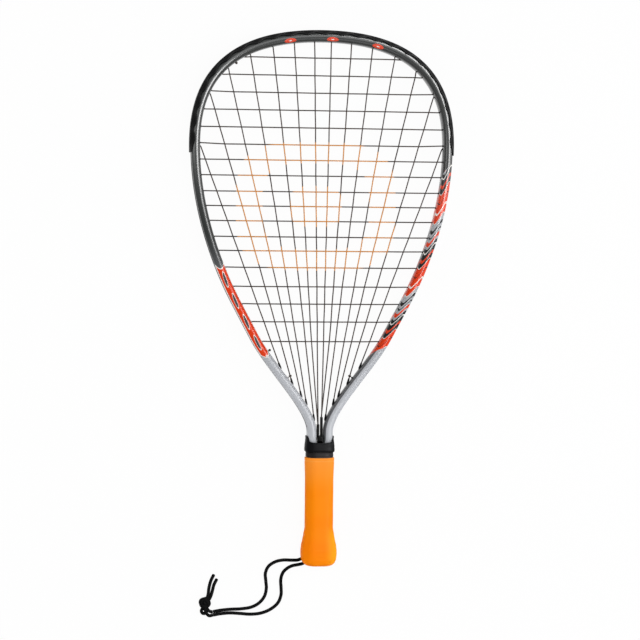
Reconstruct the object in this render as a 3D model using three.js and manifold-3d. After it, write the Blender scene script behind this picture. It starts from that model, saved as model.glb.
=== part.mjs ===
// Racquetball racket, in millimetres. X runs across the face, Y along the racket towards the
// head and Z out of the face. The origin lies under the middle of the racket, on the surface
// that its butt rests on.

import * as THREE from 'three';
import { mergeVertices } from 'three/addons/utils/BufferGeometryUtils.js';
import Module from 'manifold-3d';

const wasm = await Module();
wasm.setup();

const { degToRad, lerp, smoothstep } = THREE.MathUtils;

// Overall sizes
const overallLength = 558.8; // 22 inches, the longest that the game allows
const headWidth = 275; // over the frame, without the bumper guard
const handleLength = 136; // butt end to the top of the throat collar
const buttWidth = 37.2;
const buttDepth = 33;
const clearance = 0.3; // between pieces that seat on each other
const overrun = 2; // how far a cut runs past the face that it opens

const halfLength = overallLength / 2;
const restHeight = buttDepth / 2; // string plane above the surface
const collarTopY = handleLength - halfLength;

// Frame tube and its outline
const frameWidth = 9.7; // in the string plane
const frameDepth = 21; // across it
const bumperProud = 1.5;
const crownRise = 113.6; // crown above the widest point of the head
const flankAngle = degToRad(28.1);
const flankLength = 39.7; // the straight stretch of each flank
const throatHalf = 8.5; // leg centre from the middle line, at the throat
const throatAboveCollar = 5;
const legLean = degToRad(1.4);
const legWidth = 8.2; // inside the handle
const legDepth = 15;
const legHalf = 7; // leg centre from the middle line, inside the handle
const legNarrowing = 10; // length over which a leg slims inside the collar
const legNarrowingStart = 1.6; // below the top of the collar
const legEndInset = 17.4; // from the butt end
const crownPullShares = [0.689, 0.659];
const sidePullShares = [0.476, 0.136];
const throatPullShares = [0.385, 0.247];
const slimPullShare = 0.45;
const flankMiddleShares = [0.598, 0.611]; // of half the head's width and of its drop
const frameSteps = { crown: 11, side: 8, flank: 1, throat: 9, neck: 1, slim: 3, leg: 1 };

// Half of the tube's section, out from its middle and up, as shares of its width and depth
const sectionShares = {
  innerWall: [-0.5, 0.27],
  shoulder: [-0.27, 0.45],
  crest: [0.08, 0.5],
  bevelFoot: [0.46, 0.32],
  grooveMouth: [0.5, 0.165],
};
const grooveFloorShares = [0.17, 0.145];
const grooveRunOut = 3.6;

// Strings
const stringDiameter = 1.3;
const stringSides = 4;
const weaveDepth = 0.85; // how far a string bends out of the string plane at a crossing
const rowOffset = 0.85; // mains lie this far under the plane in the frame, crosses above it
const grooveTurn = 3.2; // where a string starts to turn, outwards from the tube's middle
const grooveRun = 3.8; // where it lies along the groove
const returnStep = 16;
const topReferenceAboveWidest = 35.5;
const lowReferenceAboveThroat = 63.4;
const mainTopShares = [1.027, 0.818, 0.646, 0.481, 0.324, 0.185, 0.055];
const mainLowShares = [0.297, 0.2415, 0.188, 0.146, 0.088, 0.0545, 0.0195];
const crossShares = [
  0.0548, 0.0995, 0.1435, 0.1877, 0.2317, 0.275, 0.3139, 0.3533, 0.3936,
  0.4306, 0.4682, 0.5081, 0.5436, 0.5857, 0.634, 0.678, 0.7232, 0.7731,
];
const legMains = 5; // mains on each side that end in a leg: the rest run into the throat guide
const holeSpacing = 4; // least distance between two string holes
const crossTieOffShares = { top: 0.5, foot: 0.35 }; // of the way to the next hole

// Tie-off knots: beads of wound string
const knotRadius = 1.7;
const knotLength = 2;
const knotWaistShare = 0.7;
const knotLayers = 2;
const knotSides = 6;
const knotStandOff = 1.6; // above the barrel of the main that a knot is tied round
const knotTail = 0.3; // string past a bead that stands on its end

// Grommet barrels and strips
const barrelDiameter = 2.8;
const boreDiameter = 2.1;
const barrelSides = 5;
const boreSides = 4;
const barrelTip = 0.5; // past the inner wall
const stringLift = 0.7; // past a barrel before a string bends away
const tieOffBarrelTip = 0.3; // the same, where the main string is tied off
const legBarrelReach = 6.5; // along the string, at a main that meets a leg
const legHoleLean = degToRad(25);
const legLeanShares = [1, 1, 1, 0.8, 0.4];
const stripFloor = 0.8;
const channelHalf = 1.85;
const ridgeRise = 1.7;
const stripStep = 18;
const stripJoint = 0.4;
const stripPastBarrel = 3.4; // past the last string hole

// Bumper guard
const bumperEndBelowWidest = 8.5;
const bumperShell = 1.2;
const lipReach = 2.6;
const lipScallop = 1.3;
const lipEndReach = 0.3;
const scallopPitch = 17.7;
const scallopSteps = 3;
const bumperCornerShare = 0.62;

// Throat guide between the legs
const guideHalf = 1.8; // guide tube centre from the middle line
const guideTubeWidth = 2.6;
const guideTubeDepth = 5.2;
const guideRow = 1; // strings in a tube lie this far from the string plane
const guideBlockTop = 0.2; // below the top of the collar
const guideBlockLength = 5.6;
const guideBlockDepth = 17;
const guideReach = { left: 12, right: 19.5 }; // tubes above the block
const guideTurnSteps = 4;

// Handle pallets
const palletWidth = 25;
const palletDepth = 21.8;
const palletTopBelowCollar = 12.6;
const palletSplit = 0.3;
const octagonFlatShares = [0.57, 0.5]; // the front flat and the side flat
const octagonCornerShare = 0.16;

// Grip and butt cap
const gripWidth = 29.2;
const gripDepth = 26;
const gripTopBelowCollar = 22.6;
const gripTopEase = 0.6;
const capFloorGap = 0.3;

// Swell of the grip and of the cap inside it: how far up the handle, then how far between the
// straight grip and the full butt the piece has opened there
const buttSwellShares = [
  [0.29, 0],
  [0.245, 0.2],
  [0.21, 0.48],
  [0.165, 0.74],
  [0.12, 1],
  [0.083, 1],
  [0.047, 0.85],
  [0.021, 0.45],
  [0.006, -0.15],
  [0, -0.75],
];
const capSwellShares = [
  [0.2, 0.24],
  [0.17, 0.33],
  [0.113, 0.47],
  [0.06, 0.38],
  [0.027, 0.02],
  [0.0132, -0.6],
];

// Staples through the butt cap's skirt
const stapleWire = 0.8;
const stapleSpan = 9;
const stapleLeg = 3.4;
const stapleInset = 22.5; // from the butt end
const stapleFit = 0.3;

// Throat collar and grip band
const collarLength = 16.6;
const collarWall = 0.9;
const collarFootWidth = 31;
const collarFootDepth = 27;
const collarFootRound = 2;
const collarDip = 7; // how far the rim drops at the middle of each face
const bandLength = 5.2;
const bandWidth = 28.4;
const bandDepth = 25.6;

// A quarter of the collar's section: across, up, and how much of the rim's dip it takes
const collarQuarterShares = [
  [1, 0, 0],
  [1, 0.72, 0],
  [0.764, 1, 0.62],
  [0.382, 1, 0.97],
  [0, 1, 1],
];

// Wrist cord and its channel through the butt
const cordDiameter = 3.1;
const cordSides = 8;
const cordStep = 8.5;
const cordHoleClearance = 0.4;
const cordHoleSpacing = 5.4;
const cordHoleTurn = degToRad(37); // from straight across the butt, towards its end
const cordHoleFall = 0.28; // per unit across
const cordTurnSide = -4.95; // middle of the turn inside the cap
const cordTurnInset = 10.85; // from the butt end
const cordTurnHeight = 8.7;
const cordTurnSteps = 6;
const cordAnchorLength = 7;
const cordMouth = 11.5; // from the turn to where a strand leaves the butt
const cordRestGap = 0.05; // under the lying cord

const material = (color, roughness, metalness = 0) =>
  new THREE.MeshStandardMaterial({ color, roughness, metalness });
const finishes = {
  frame: material(0x8d9092, 0.35, 0.4),
  guard: material(0x141416, 0.5),
  string: material(0x2a2624, 0.45),
  pallet: material(0x8a8478, 0.7),
  cap: material(0x1c1c1e, 0.5),
  steel: material(0xb4b6b8, 0.3, 1),
  grip: material(0xf58a1c, 0.6),
  collar: material(0x17181b, 0.55),
  band: material(0x33302f, 0.6),
  cord: material(0x101012, 0.85),
};

const group = new THREE.Group();

function addPart(name, geometry, finish) {
  const mesh = new THREE.Mesh(geometry, finish);
  mesh.name = name;
  group.add(mesh);
}

// Solids

const vector = (x, y, z) => new THREE.Vector3(x, y, z);
const point2 = (x, y) => new THREE.Vector2(x, y);
const away = (from, direction, length) => from.clone().addScaledVector(direction, length);
const backwards = (points) => [...points].reverse();
const mirrored = (half) => [...half, ...half.map(([out, up]) => [out, -up]).reverse()];

function facesOut(geometry) {
  const place = geometry.attributes.position;
  const index = geometry.index.array;
  const [a, b, c] = [0, 1, 2].map(() => new THREE.Vector3());
  let volume = 0;
  for (let i = 0; i < index.length; i += 3) {
    a.fromBufferAttribute(place, index[i]);
    b.fromBufferAttribute(place, index[i + 1]);
    c.fromBufferAttribute(place, index[i + 2]);
    volume += a.dot(b.cross(c));
  }
  if (volume < 0) {
    for (let i = 0; i < index.length; i += 3) {
      [index[i], index[i + 1]] = [index[i + 1], index[i]];
    }
  }
  return geometry;
}

// Triangles over a flat ring of points, numbered from first on
function capTriangles(ring, first) {
  const normal = new THREE.Vector3();
  ring.forEach((point, i) => {
    const next = ring[(i + 1) % ring.length];
    normal.add(point.clone().sub(ring[0]).cross(next.clone().sub(ring[0])));
  });
  const across = ring[1].clone().sub(ring[0]).normalize();
  const up = normal.normalize().cross(across);
  const flat = ring.map((point) => point2(point.dot(across), point.dot(up)));
  return THREE.ShapeUtils.triangulateShape(flat, []).map((face) => face.map((i) => first + i));
}

// A skin over rings of equal counts: closed by its two end rings, or run round into a loop
function loft(rings, looped = false) {
  const count = rings[0].length;
  const indices = [];
  const bands = looped ? rings.length : rings.length - 1;
  for (let r = 0; r < bands; r += 1) {
    const a = r * count;
    const b = ((r + 1) % rings.length) * count;
    for (let i = 0; i < count; i += 1) {
      const j = (i + 1) % count;
      indices.push(a + i, a + j, b + j);
      indices.push(a + i, b + j, b + i);
    }
  }
  if (!looped) {
    const last = rings.length - 1;
    capTriangles(rings[0], 0).forEach((face) => indices.push(...face.reverse()));
    capTriangles(rings[last], last * count).forEach((face) => indices.push(...face));
  }
  const geometry = new THREE.BufferGeometry();
  const places = rings.flat().flatMap((point) => point.toArray());
  geometry.setAttribute('position', new THREE.Float32BufferAttribute(places, 3));
  geometry.setIndex(new THREE.BufferAttribute(Uint32Array.from(indices), 1));
  return facesOut(geometry);
}

function welded(geometry) {
  const bare = geometry.clone();
  bare.deleteAttribute('normal');
  bare.deleteAttribute('uv');
  return mergeVertices(bare);
}

function solid(geometry) {
  const bare = welded(geometry);
  return new wasm.Manifold(new wasm.Mesh({
    numProp: 3,
    vertProperties: bare.attributes.position.array,
    triVerts: Uint32Array.from(bare.index.array),
  }));
}

function geometryOf(body) {
  const mesh = body.getMesh();
  const geometry = new THREE.BufferGeometry();
  geometry.setAttribute('position', new THREE.BufferAttribute(mesh.vertProperties, 3));
  geometry.setIndex(new THREE.BufferAttribute(mesh.triVerts, 1));
  return geometry;
}

const joined = (bodies) => bodies.reduce((whole, body) => whole.add(body));
const without = (body, cuts) => cuts.reduce((rest, cut) => rest.subtract(cut), body);
const box = (size, centre) =>
  solid(new THREE.BoxGeometry(...size.toArray()).translate(...centre.toArray()));

// A tube of constant section along a chain of points, mitred at each
function tube(points, radius, sides) {
  const last = points.length - 1;
  const runs = points.slice(1).map((point, i) => point.clone().sub(points[i]).normalize());
  const start = Math.abs(runs[0].z) < Math.SQRT1_2 ? vector(0, 0, 1) : vector(1, 0, 0);
  const side = start.cross(runs[0]).normalize();
  const lift = runs[0].clone().cross(side);
  let spokes = Array.from({ length: sides }, (_, i) => {
    const turn = ((i + 0.5) / sides) * 2 * Math.PI;
    return side.clone().multiplyScalar(radius * Math.cos(turn))
      .addScaledVector(lift, radius * Math.sin(turn));
  });
  const rings = points.map((point, i) => {
    if (i === 0 || i === last) return spokes.map((spoke) => spoke.clone().add(point));
    const [before, after] = [runs[i - 1], runs[i]];
    const mitre = before.clone().add(after).normalize();
    const ring = spokes.map((spoke) => spoke.clone()
      .addScaledVector(before, -spoke.dot(mitre) / before.dot(mitre)).add(point));
    const turn = new THREE.Quaternion().setFromUnitVectors(before, after);
    spokes = spokes.map((spoke) => spoke.clone().applyQuaternion(turn));
    return ring;
  });
  return loft(rings);
}

// Outline of the right half of the frame's middle line, from the crown to the leg's end

const crownY = halfLength - bumperProud - frameWidth / 2;
const headHalf = (headWidth - frameWidth) / 2;
const widestY = crownY - crownRise;
const throatY = collarTopY + throatAboveCollar;
const narrowY = collarTopY - legNarrowingStart;
const slimY = narrowY - legNarrowing;
const legEndY = legEndInset - halfLength;

function buildOutline() {
  const down = point2(-Math.sin(flankAngle), -Math.cos(flankAngle));
  const legDown = point2(-Math.sin(legLean), -Math.cos(legLean));
  const straightDown = point2(0, -1);
  const widest = point2(headHalf, widestY);
  const flankMiddle = point2(
    headHalf * flankMiddleShares[0],
    widestY - (widestY - throatY) * flankMiddleShares[1],
  );
  const flankTop = away(flankMiddle, down, -flankLength / 2);
  const flankFoot = away(flankMiddle, down, flankLength / 2);
  const throat = point2(throatHalf, throatY);
  const neckFoot = away(throat, legDown, (throatY - narrowY) / Math.cos(legLean));
  const slimTop = point2(legHalf, slimY);
  const sideDrop = widestY - flankTop.y;
  const throatDrop = flankFoot.y - throatY;
  const slimPull = legNarrowing * slimPullShare;
  return {
    crown: new THREE.CubicBezierCurve(
      point2(0, crownY),
      point2(headHalf * crownPullShares[0], crownY),
      point2(headHalf, widestY + crownRise * crownPullShares[1]),
      widest,
    ),
    side: new THREE.CubicBezierCurve(
      widest,
      point2(headHalf, widestY - sideDrop * sidePullShares[0]),
      away(flankTop, down, -sideDrop * sidePullShares[1]),
      flankTop,
    ),
    flank: new THREE.LineCurve(flankTop, flankFoot),
    throat: new THREE.CubicBezierCurve(
      flankFoot,
      away(flankFoot, down, throatDrop * throatPullShares[0]),
      away(throat, legDown, -throatDrop * throatPullShares[1]),
      throat,
    ),
    neck: new THREE.LineCurve(throat, neckFoot),
    slim: new THREE.CubicBezierCurve(
      neckFoot,
      away(neckFoot, legDown, slimPull),
      away(slimTop, straightDown, -slimPull),
      slimTop,
    ),
    leg: new THREE.LineCurve(slimTop, point2(legHalf, legEndY)),
  };
}

const outline = buildOutline();
const stretches = Object.keys(outline);
const stretchLengths = stretches.map((name) => outline[name].getLength());
const runTo = (name) => stretchLengths
  .slice(0, stretches.indexOf(name) + 1).reduce((sum, length) => sum + length, 0);
const outlineLength = runTo('leg');

// Place and outward direction on the middle line, by the run from the crown, negative on the left
function frameAt(run) {
  let rest = Math.min(Math.abs(run), outlineLength);
  let i = 0;
  while (i < stretches.length - 1 && rest > stretchLengths[i]) {
    rest -= stretchLengths[i];
    i += 1;
  }
  const share = Math.min(rest / stretchLengths[i], 1);
  const middle = outline[stretches[i]].getPointAt(share);
  const tangent = outline[stretches[i]].getTangentAt(share);
  const hand = run < 0 ? -1 : 1;
  return {
    middle: point2(middle.x * hand, middle.y),
    out: point2(-tangent.y * hand, tangent.x),
  };
}

// A point by its run, its distance out from the middle line and its height over the string plane
function onFrame(run, out, height) {
  const place = frameAt(run);
  const flat = away(place.middle, place.out, out);
  return vector(flat.x, flat.y, restHeight + height);
}

// The run between two others at which a measure, positive at the first, changes sign
function findRun(from, to, measure) {
  const bisections = 40;
  let [low, high] = [from, to];
  for (let i = 0; i < bisections; i += 1) {
    const middle = (low + high) / 2;
    if (measure(middle) > 0) low = middle;
    else high = middle;
  }
  return (low + high) / 2;
}

const runAtY = (y) => findRun(0, outlineLength, (run) => frameAt(run).middle.y - y);
const innerWall = -frameWidth / 2;
const onWall = (run) => onFrame(run, innerWall, 0);

function frameRing(run) {
  const { y } = frameAt(run).middle;
  const slim = smoothstep((narrowY - y) / legNarrowing, 0, 1);
  const width = lerp(frameWidth, legWidth, slim);
  const depth = lerp(frameDepth, legDepth, slim);
  const groove = smoothstep((y - grooveEndY) / grooveRunOut, 0, 1);
  const floor = lerp(sectionShares.grooveMouth[0], grooveFloorShares[0], groove);
  const half = [...Object.values(sectionShares), [floor, grooveFloorShares[1]]];
  return mirrored(half).map(([out, up]) => onFrame(run, out * width, up * depth));
}

function frameRuns() {
  const runs = [0, runAtY(grooveEndY), runAtY(grooveEndY + grooveRunOut)];
  let start = 0;
  stretches.forEach((name, i) => {
    const steps = frameSteps[name];
    for (let k = 1; k <= steps; k += 1) runs.push(start + (stretchLengths[i] * k) / steps);
    start += stretchLengths[i];
  });
  runs.sort((a, b) => a - b);
  return [...runs.slice(1).reverse().map((run) => -run), ...runs];
}

// String holes

const sideRun = runTo('side');
const throatRun = runTo('throat');
const topReference = widestY + topReferenceAboveWidest;
const lowReference = throatY + lowReferenceAboveThroat;
const crossLines = crossShares.map((share) => lerp(crownY, throatY, share));
const mainSlopes = mainTopShares.map((top, i) =>
  ((top - mainLowShares[i]) * headWidth) / 2 / (topReference - lowReference));
const mainX = (i, y) => (mainLowShares[i] * headWidth) / 2 + mainSlopes[i] * (y - lowReference);

// Holes of the right half, in order from the crown, kept apart by the least spacing
function rightHoles() {
  const found = [];
  crossLines.forEach((line, i) => {
    found.push({ kind: 'cross', i, run: findRun(0, throatRun, (run) => onWall(run).y - line) });
  });
  mainTopShares.forEach((_, i) => {
    const outside = (run) => onWall(run).x - mainX(i, onWall(run).y);
    found.push({ kind: 'mainTop', i, run: findRun(0, sideRun, (run) => -outside(run)) });
    if (i < legMains) {
      found.push({ kind: 'mainFoot', i, run: findRun(sideRun, throatRun, outside) });
    }
  });
  found.sort((a, b) => a.run - b.run);
  for (let pass = 0; pass < found.length; pass += 1) {
    for (let k = 1; k < found.length; k += 1) {
      const short = Math.max(0, holeSpacing - (found[k].run - found[k - 1].run));
      found[k - 1].run -= short / 2;
      found[k].run += short / 2;
    }
  }
  return found;
}

const holes = rightHoles();
const holeRun = (kind, i) => holes.find((hole) => hole.kind === kind && hole.i === i).run;
const nextHoleRun = (run) => Math.min(...holes.map((hole) => hole.run).filter((r) => r > run));

// Routes through the frame, from the groove to where the string leaves its barrel

const throughWall = grooveTurn - innerWall;
const footDrop = (i) => throughWall * Math.tan(legHoleLean * legLeanShares[i]);
const footGrooveRun = (i) => holeRun('mainFoot', i) + footDrop(i);
const stripEndRun = footGrooveRun(legMains - 1) + stripPastBarrel;
const grooveEndY = frameAt(stripEndRun).middle.y - clearance - grooveRunOut;

function straightRoute(run, height, tip = barrelTip) {
  return [onFrame(run, grooveTurn, height), onFrame(run, innerWall - tip, height)];
}

// A hole in a leg leans back, and its barrel then follows the string
function footRoute(i, hand) {
  const wall = onFrame(holeRun('mainFoot', i) * hand, innerWall, -rowOffset);
  const upstream = vector(mainSlopes[i] * hand, 1, 0).normalize();
  return [
    onFrame(footGrooveRun(i) * hand, grooveTurn, -rowOffset),
    wall,
    away(wall, upstream, legBarrelReach),
  ];
}

// Along the groove between two runs, without the turns into the holes
function grooveRoute(from, to, height) {
  const turn = Math.sign(to - from) * (grooveRun - grooveTurn);
  const length = to - from - 2 * turn;
  const steps = Math.max(1, Math.ceil(Math.abs(length) / returnStep));
  return Array.from({ length: steps + 1 }, (_, k) =>
    onFrame(from + turn + (length * k) / steps, grooveRun, height));
}

// Main string

const guideTopY = collarTopY - guideBlockTop;
const guideFootY = guideTopY - guideBlockLength;
const isOver = (i, line, hand) => (line + i + (hand > 0 ? 1 : 0)) % 2 === 0;
const mainHeight = (i, line, hand) => (isOver(i, line, hand) ? weaveDepth : -weaveDepth);
const mainMeets = (i, y) => y < onWall(holeRun('mainTop', i)).y - barrelDiameter / 2;

// Crossings of one main, from the top down
const mainCrossings = (i, hand) => crossLines.flatMap((y, line) => (mainMeets(i, y)
  ? [vector(mainX(i, y) * hand, y, restHeight + mainHeight(i, line, hand))]
  : []));

function mainRoute(i, hand) {
  const top = straightRoute(holeRun('mainTop', i) * hand, -rowOffset, barrelTip + stringLift);
  const route = [...top, ...mainCrossings(i, hand)];
  if (i < legMains) return [...route, ...backwards(footRoute(i, hand))];
  const height = restHeight + (i === legMains ? -guideRow : guideRow);
  const reach = hand < 0 ? guideReach.left : guideReach.right;
  const ends = [guideTopY + reach, guideFootY - clearance];
  return [...route, ...ends.map((y) => vector(guideHalf * hand, y, height))];
}

// The turn under the throat guide, from the outer main of a pair to its inner one
function guideTurn(hand) {
  return Array.from({ length: guideTurnSteps - 1 }, (_, k) => {
    const turn = ((k + 1) / guideTurnSteps) * Math.PI;
    return vector(
      guideHalf * hand,
      guideFootY - clearance - guideRow * Math.sin(turn),
      restHeight - guideRow * Math.cos(turn),
    );
  });
}

// The outermost main is tied round the one beside it, just above that one's barrel
function mainKnotPlace(hand) {
  const tip = footRoute(1, hand)[2];
  const axis = mainCrossings(1, hand).pop().sub(tip).normalize();
  return { foot: away(tip, axis, knotStandOff), axis };
}

function mainTieOffRun() {
  const { foot, axis } = mainKnotPlace(1);
  const centre = away(foot, axis, knotLength / 2);
  return findRun(holeRun('mainFoot', 0), holeRun('mainFoot', 1), (run) => {
    const { middle, out } = frameAt(run);
    return (centre.x - middle.x) * out.y - (centre.y - middle.y) * out.x;
  });
}

const mainTieOff = mainTieOffRun();

function mainTieOffTip() {
  const { foot, axis } = mainKnotPlace(1);
  const centre = away(foot, axis, knotLength / 2).setZ(restHeight);
  return onWall(mainTieOff).distanceTo(centre) - knotRadius - clearance;
}

function mainTieOffRoute(hand, tip) {
  return [
    onFrame((mainTieOff + footDrop(0)) * hand, grooveTurn, -rowOffset),
    onFrame(mainTieOff * hand, innerWall, -rowOffset),
    onFrame(mainTieOff * hand, innerWall - tip, -rowOffset),
  ];
}

function mainHalf(hand) {
  const back = (mainTieOff + footDrop(0)) * hand;
  const route = [
    ...backwards(mainTieOffRoute(hand, mainTieOffTip())),
    ...grooveRoute(back, footGrooveRun(0) * hand, -rowOffset),
    ...backwards(mainRoute(0, hand)),
  ];
  mainTopShares.slice(1).forEach((_, k) => {
    const i = k + 1;
    if (i % 2 === 1) {
      const [from, to] = [i - 1, i].map((main) => holeRun('mainTop', main) * hand);
      route.push(...grooveRoute(from, to, -rowOffset), ...mainRoute(i, hand));
    } else if (i > legMains) {
      route.push(...guideTurn(hand), ...backwards(mainRoute(i, hand)));
    } else {
      const [from, to] = [i - 1, i].map((main) => footGrooveRun(main) * hand);
      route.push(...grooveRoute(from, to, -rowOffset), ...backwards(mainRoute(i, hand)));
    }
  });
  return route;
}

const innermostRun = holeRun('mainTop', mainTopShares.length - 1);
const mainPath = [
  ...mainHalf(-1),
  ...grooveRoute(-innermostRun, innermostRun, -rowOffset),
  ...backwards(mainHalf(1)),
];

// Cross string

function crossRoute(line) {
  const y = crossLines[line];
  const run = holeRun('cross', line);
  const reach = onWall(run).x - barrelDiameter / 2;
  const half = (hand) => mainTopShares.flatMap((_, i) => (mainMeets(i, y) && mainX(i, y) < reach
    ? [vector(mainX(i, y) * hand, y, restHeight - mainHeight(i, line, hand))]
    : []));
  const [left, right] = [-run, run].map((at) => straightRoute(at, rowOffset, barrelTip + stringLift));
  return [...left, ...half(-1), ...backwards(half(1)), ...backwards(right)];
}

const lastLine = crossLines.length - 1;
const crossTieOffs = {
  top: lerp(holeRun('cross', 0), nextHoleRun(holeRun('cross', 0)), crossTieOffShares.top),
  foot: lerp(
    holeRun('cross', lastLine),
    nextHoleRun(holeRun('cross', lastLine)),
    crossTieOffShares.foot,
  ),
};

function crossTieOffRoute(line, back) {
  const tip = barrelTip + clearance + knotLength + knotTail;
  return [
    ...grooveRoute(-holeRun('cross', line), -back, rowOffset),
    ...straightRoute(-back, rowOffset, tip),
  ];
}

function buildCrossPath() {
  const path = backwards(crossTieOffRoute(0, crossTieOffs.top));
  crossLines.forEach((_, line) => {
    const rightwards = line % 2 === 0;
    path.push(...(rightwards ? crossRoute(line) : backwards(crossRoute(line))));
    if (line < lastLine) {
      const hand = rightwards ? 1 : -1;
      const [from, to] = [line, line + 1].map((cross) => holeRun('cross', cross) * hand);
      path.push(...grooveRoute(from, to, rowOffset));
    }
  });
  path.push(...crossTieOffRoute(lastLine, crossTieOffs.foot));
  return path;
}

const crossPath = buildCrossPath();

// Least distance between the surfaces of two strings, or of one string and itself
function leastGap(first, second) {
  const neighbours = 6;
  const lines = second.slice(1).map((end, j) => new THREE.Line3(second[j], end));
  const nearest = new THREE.Vector3();
  let least = Infinity;
  first.slice(1).forEach((end, i) => {
    const length = first[i].distanceTo(end);
    const steps = Math.ceil(length / stringDiameter);
    lines.forEach((line, j) => {
      if (first === second && Math.abs(i - j) < neighbours) return;
      line.closestPointToPoint(first[i], true, nearest);
      if (nearest.distanceTo(first[i]) - length > least) return;
      for (let k = 0; k <= steps; k += 1) {
        const point = first[i].clone().lerp(end, k / steps);
        line.closestPointToPoint(point, true, nearest);
        least = Math.min(least, nearest.distanceTo(point));
      }
    });
  });
  return least - stringDiameter;
}

console.log('least gap, main string to itself, mm:', leastGap(mainPath, mainPath).toFixed(2));
console.log('least gap, cross string to itself, mm:', leastGap(crossPath, crossPath).toFixed(2));
console.log('least gap, main to cross string, mm:', leastGap(mainPath, crossPath).toFixed(2));

const stringRadius = stringDiameter / 2;
addPart('main_string', tube(mainPath, stringRadius, stringSides), finishes.string);
addPart('cross_string', tube(crossPath, stringRadius, stringSides), finishes.string);

// Tie-off knots

function addKnot(name, foot, axis) {
  const bore = stringRadius + clearance;
  const waist = lerp(bore, knotRadius, knotWaistShare);
  const layer = knotLength / knotLayers;
  const profile = [point2(bore, 0)];
  for (let k = 0; k < knotLayers; k += 1) {
    profile.push(point2(waist, layer * k), point2(knotRadius, layer * (k + 0.5)));
  }
  profile.push(point2(waist, knotLength), point2(bore, knotLength), point2(bore, 0));
  const bead = welded(new THREE.LatheGeometry(profile, knotSides));
  bead.applyQuaternion(new THREE.Quaternion().setFromUnitVectors(vector(0, 1, 0), axis));
  bead.translate(...foot.toArray());
  addPart(name, facesOut(bead), finishes.string);
}

[['left', -1], ['right', 1]].forEach(([side, hand]) => {
  const { foot, axis } = mainKnotPlace(hand);
  addKnot(`main_string_knot_${side}`, foot, axis);
});
Object.entries(crossTieOffs).forEach(([end, run]) => {
  const foot = onFrame(-run, innerWall - barrelTip - clearance, rowOffset);
  const axis = foot.clone().sub(onFrame(-run, 0, rowOffset)).normalize();
  addKnot(`cross_string_knot_${end}`, foot, axis);
});

// Barrels: every hole's route, by the run at which the strip or the guard carries it

function barrelRoutes(hand) {
  const routes = holes.map(({ kind, i, run }) => {
    if (kind === 'mainFoot') return { run: footGrooveRun(i), route: footRoute(i, hand) };
    const height = kind === 'cross' ? rowOffset : -rowOffset;
    return { run, route: straightRoute(run * hand, height) };
  });
  const mainRun = mainTieOff + footDrop(0);
  routes.push({ run: mainRun, route: mainTieOffRoute(hand, tieOffBarrelTip) });
  if (hand < 0) {
    Object.values(crossTieOffs).forEach((run) => {
      routes.push({ run, route: straightRoute(-run, rowOffset) });
    });
  }
  return routes.map((barrel) => ({ ...barrel, hand }));
}

const barrels = [...barrelRoutes(-1), ...barrelRoutes(1)];

// The same route, longer at each end
function stretched(route, first, last) {
  const points = route.map((point) => point.clone());
  const end = points.length - 1;
  const start = points[0].clone().sub(points[1]).normalize();
  const finish = points[end].clone().sub(points[end - 1]).normalize();
  points[0].addScaledVector(start, first);
  points[end].addScaledVector(finish, last);
  return points;
}

const stripBase = frameWidth * grooveFloorShares[0] + clearance;
const stripTop = stripBase + stripFloor;

function withBarrels(strip, wanted) {
  const root = (stripBase + stripTop) / 2 - grooveTurn;
  const tubes = wanted.map(({ route }) =>
    solid(tube(stretched(route, root, 0), barrelDiameter / 2, barrelSides)));
  const bores = wanted.map(({ route }) =>
    solid(tube(stretched(route, overrun, overrun), boreDiameter / 2, boreSides)));
  return geometryOf(without(joined([strip, ...tubes]), bores));
}

// Frame

const holeDiameter = barrelDiameter + 2 * clearance;
const frameCuts = barrels.map(({ route }) =>
  solid(tube(stretched(route, 0, overrun), holeDiameter / 2, barrelSides)));
const frameBlank = solid(loft(frameRuns().map(frameRing)));
addPart('frame', geometryOf(without(frameBlank, frameCuts)), finishes.frame);

// Grommet strips

const grooveFloorHalf = frameDepth * grooveFloorShares[1];
const grooveMouthHalf = frameDepth * sectionShares.grooveMouth[1];
const bumperEndRun = runAtY(widestY - bumperEndBelowWidest);

function evenRuns(from, to, step) {
  const steps = Math.ceil((to - from) / step);
  return Array.from({ length: steps + 1 }, (_, k) => lerp(from, to, k / steps));
}

function stripRing(run) {
  const half = [
    [stripBase, grooveFloorHalf - clearance],
    [stripTop + ridgeRise, grooveMouthHalf - clearance],
    [stripTop + ridgeRise, channelHalf],
    [stripTop, channelHalf],
  ];
  return mirrored(half).map(([out, up]) => onFrame(run, out, up));
}

[['left', -1], ['right', 1]].forEach(([side, hand]) => {
  const from = bumperEndRun + stripJoint;
  const runs = evenRuns(from, stripEndRun, stripStep);
  const strip = solid(loft(runs.map((run) => stripRing(run * hand))));
  const wanted = barrels.filter((barrel) => barrel.hand === hand && barrel.run > from);
  addPart(`grommet_strip_${side}`, withBarrels(strip, wanted), finishes.guard);
});

// Bumper guard

const bevelFoot = point2(
  frameWidth * sectionShares.bevelFoot[0],
  frameDepth * sectionShares.bevelFoot[1],
);
const bevelTop = point2(frameWidth * sectionShares.crest[0], frameDepth * sectionShares.crest[1]);
const bevelRise = bevelTop.clone().sub(bevelFoot).normalize();
const bevelOut = point2(bevelRise.y, -bevelRise.x);

function lipLength(run) {
  const wave = Math.cos((2 * Math.PI * run) / scallopPitch);
  const fade = smoothstep((bumperEndRun - Math.abs(run)) / (scallopPitch / 2), 0, 1);
  return lerp(lipEndReach, lipReach + lipScallop * wave, fade);
}

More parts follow.
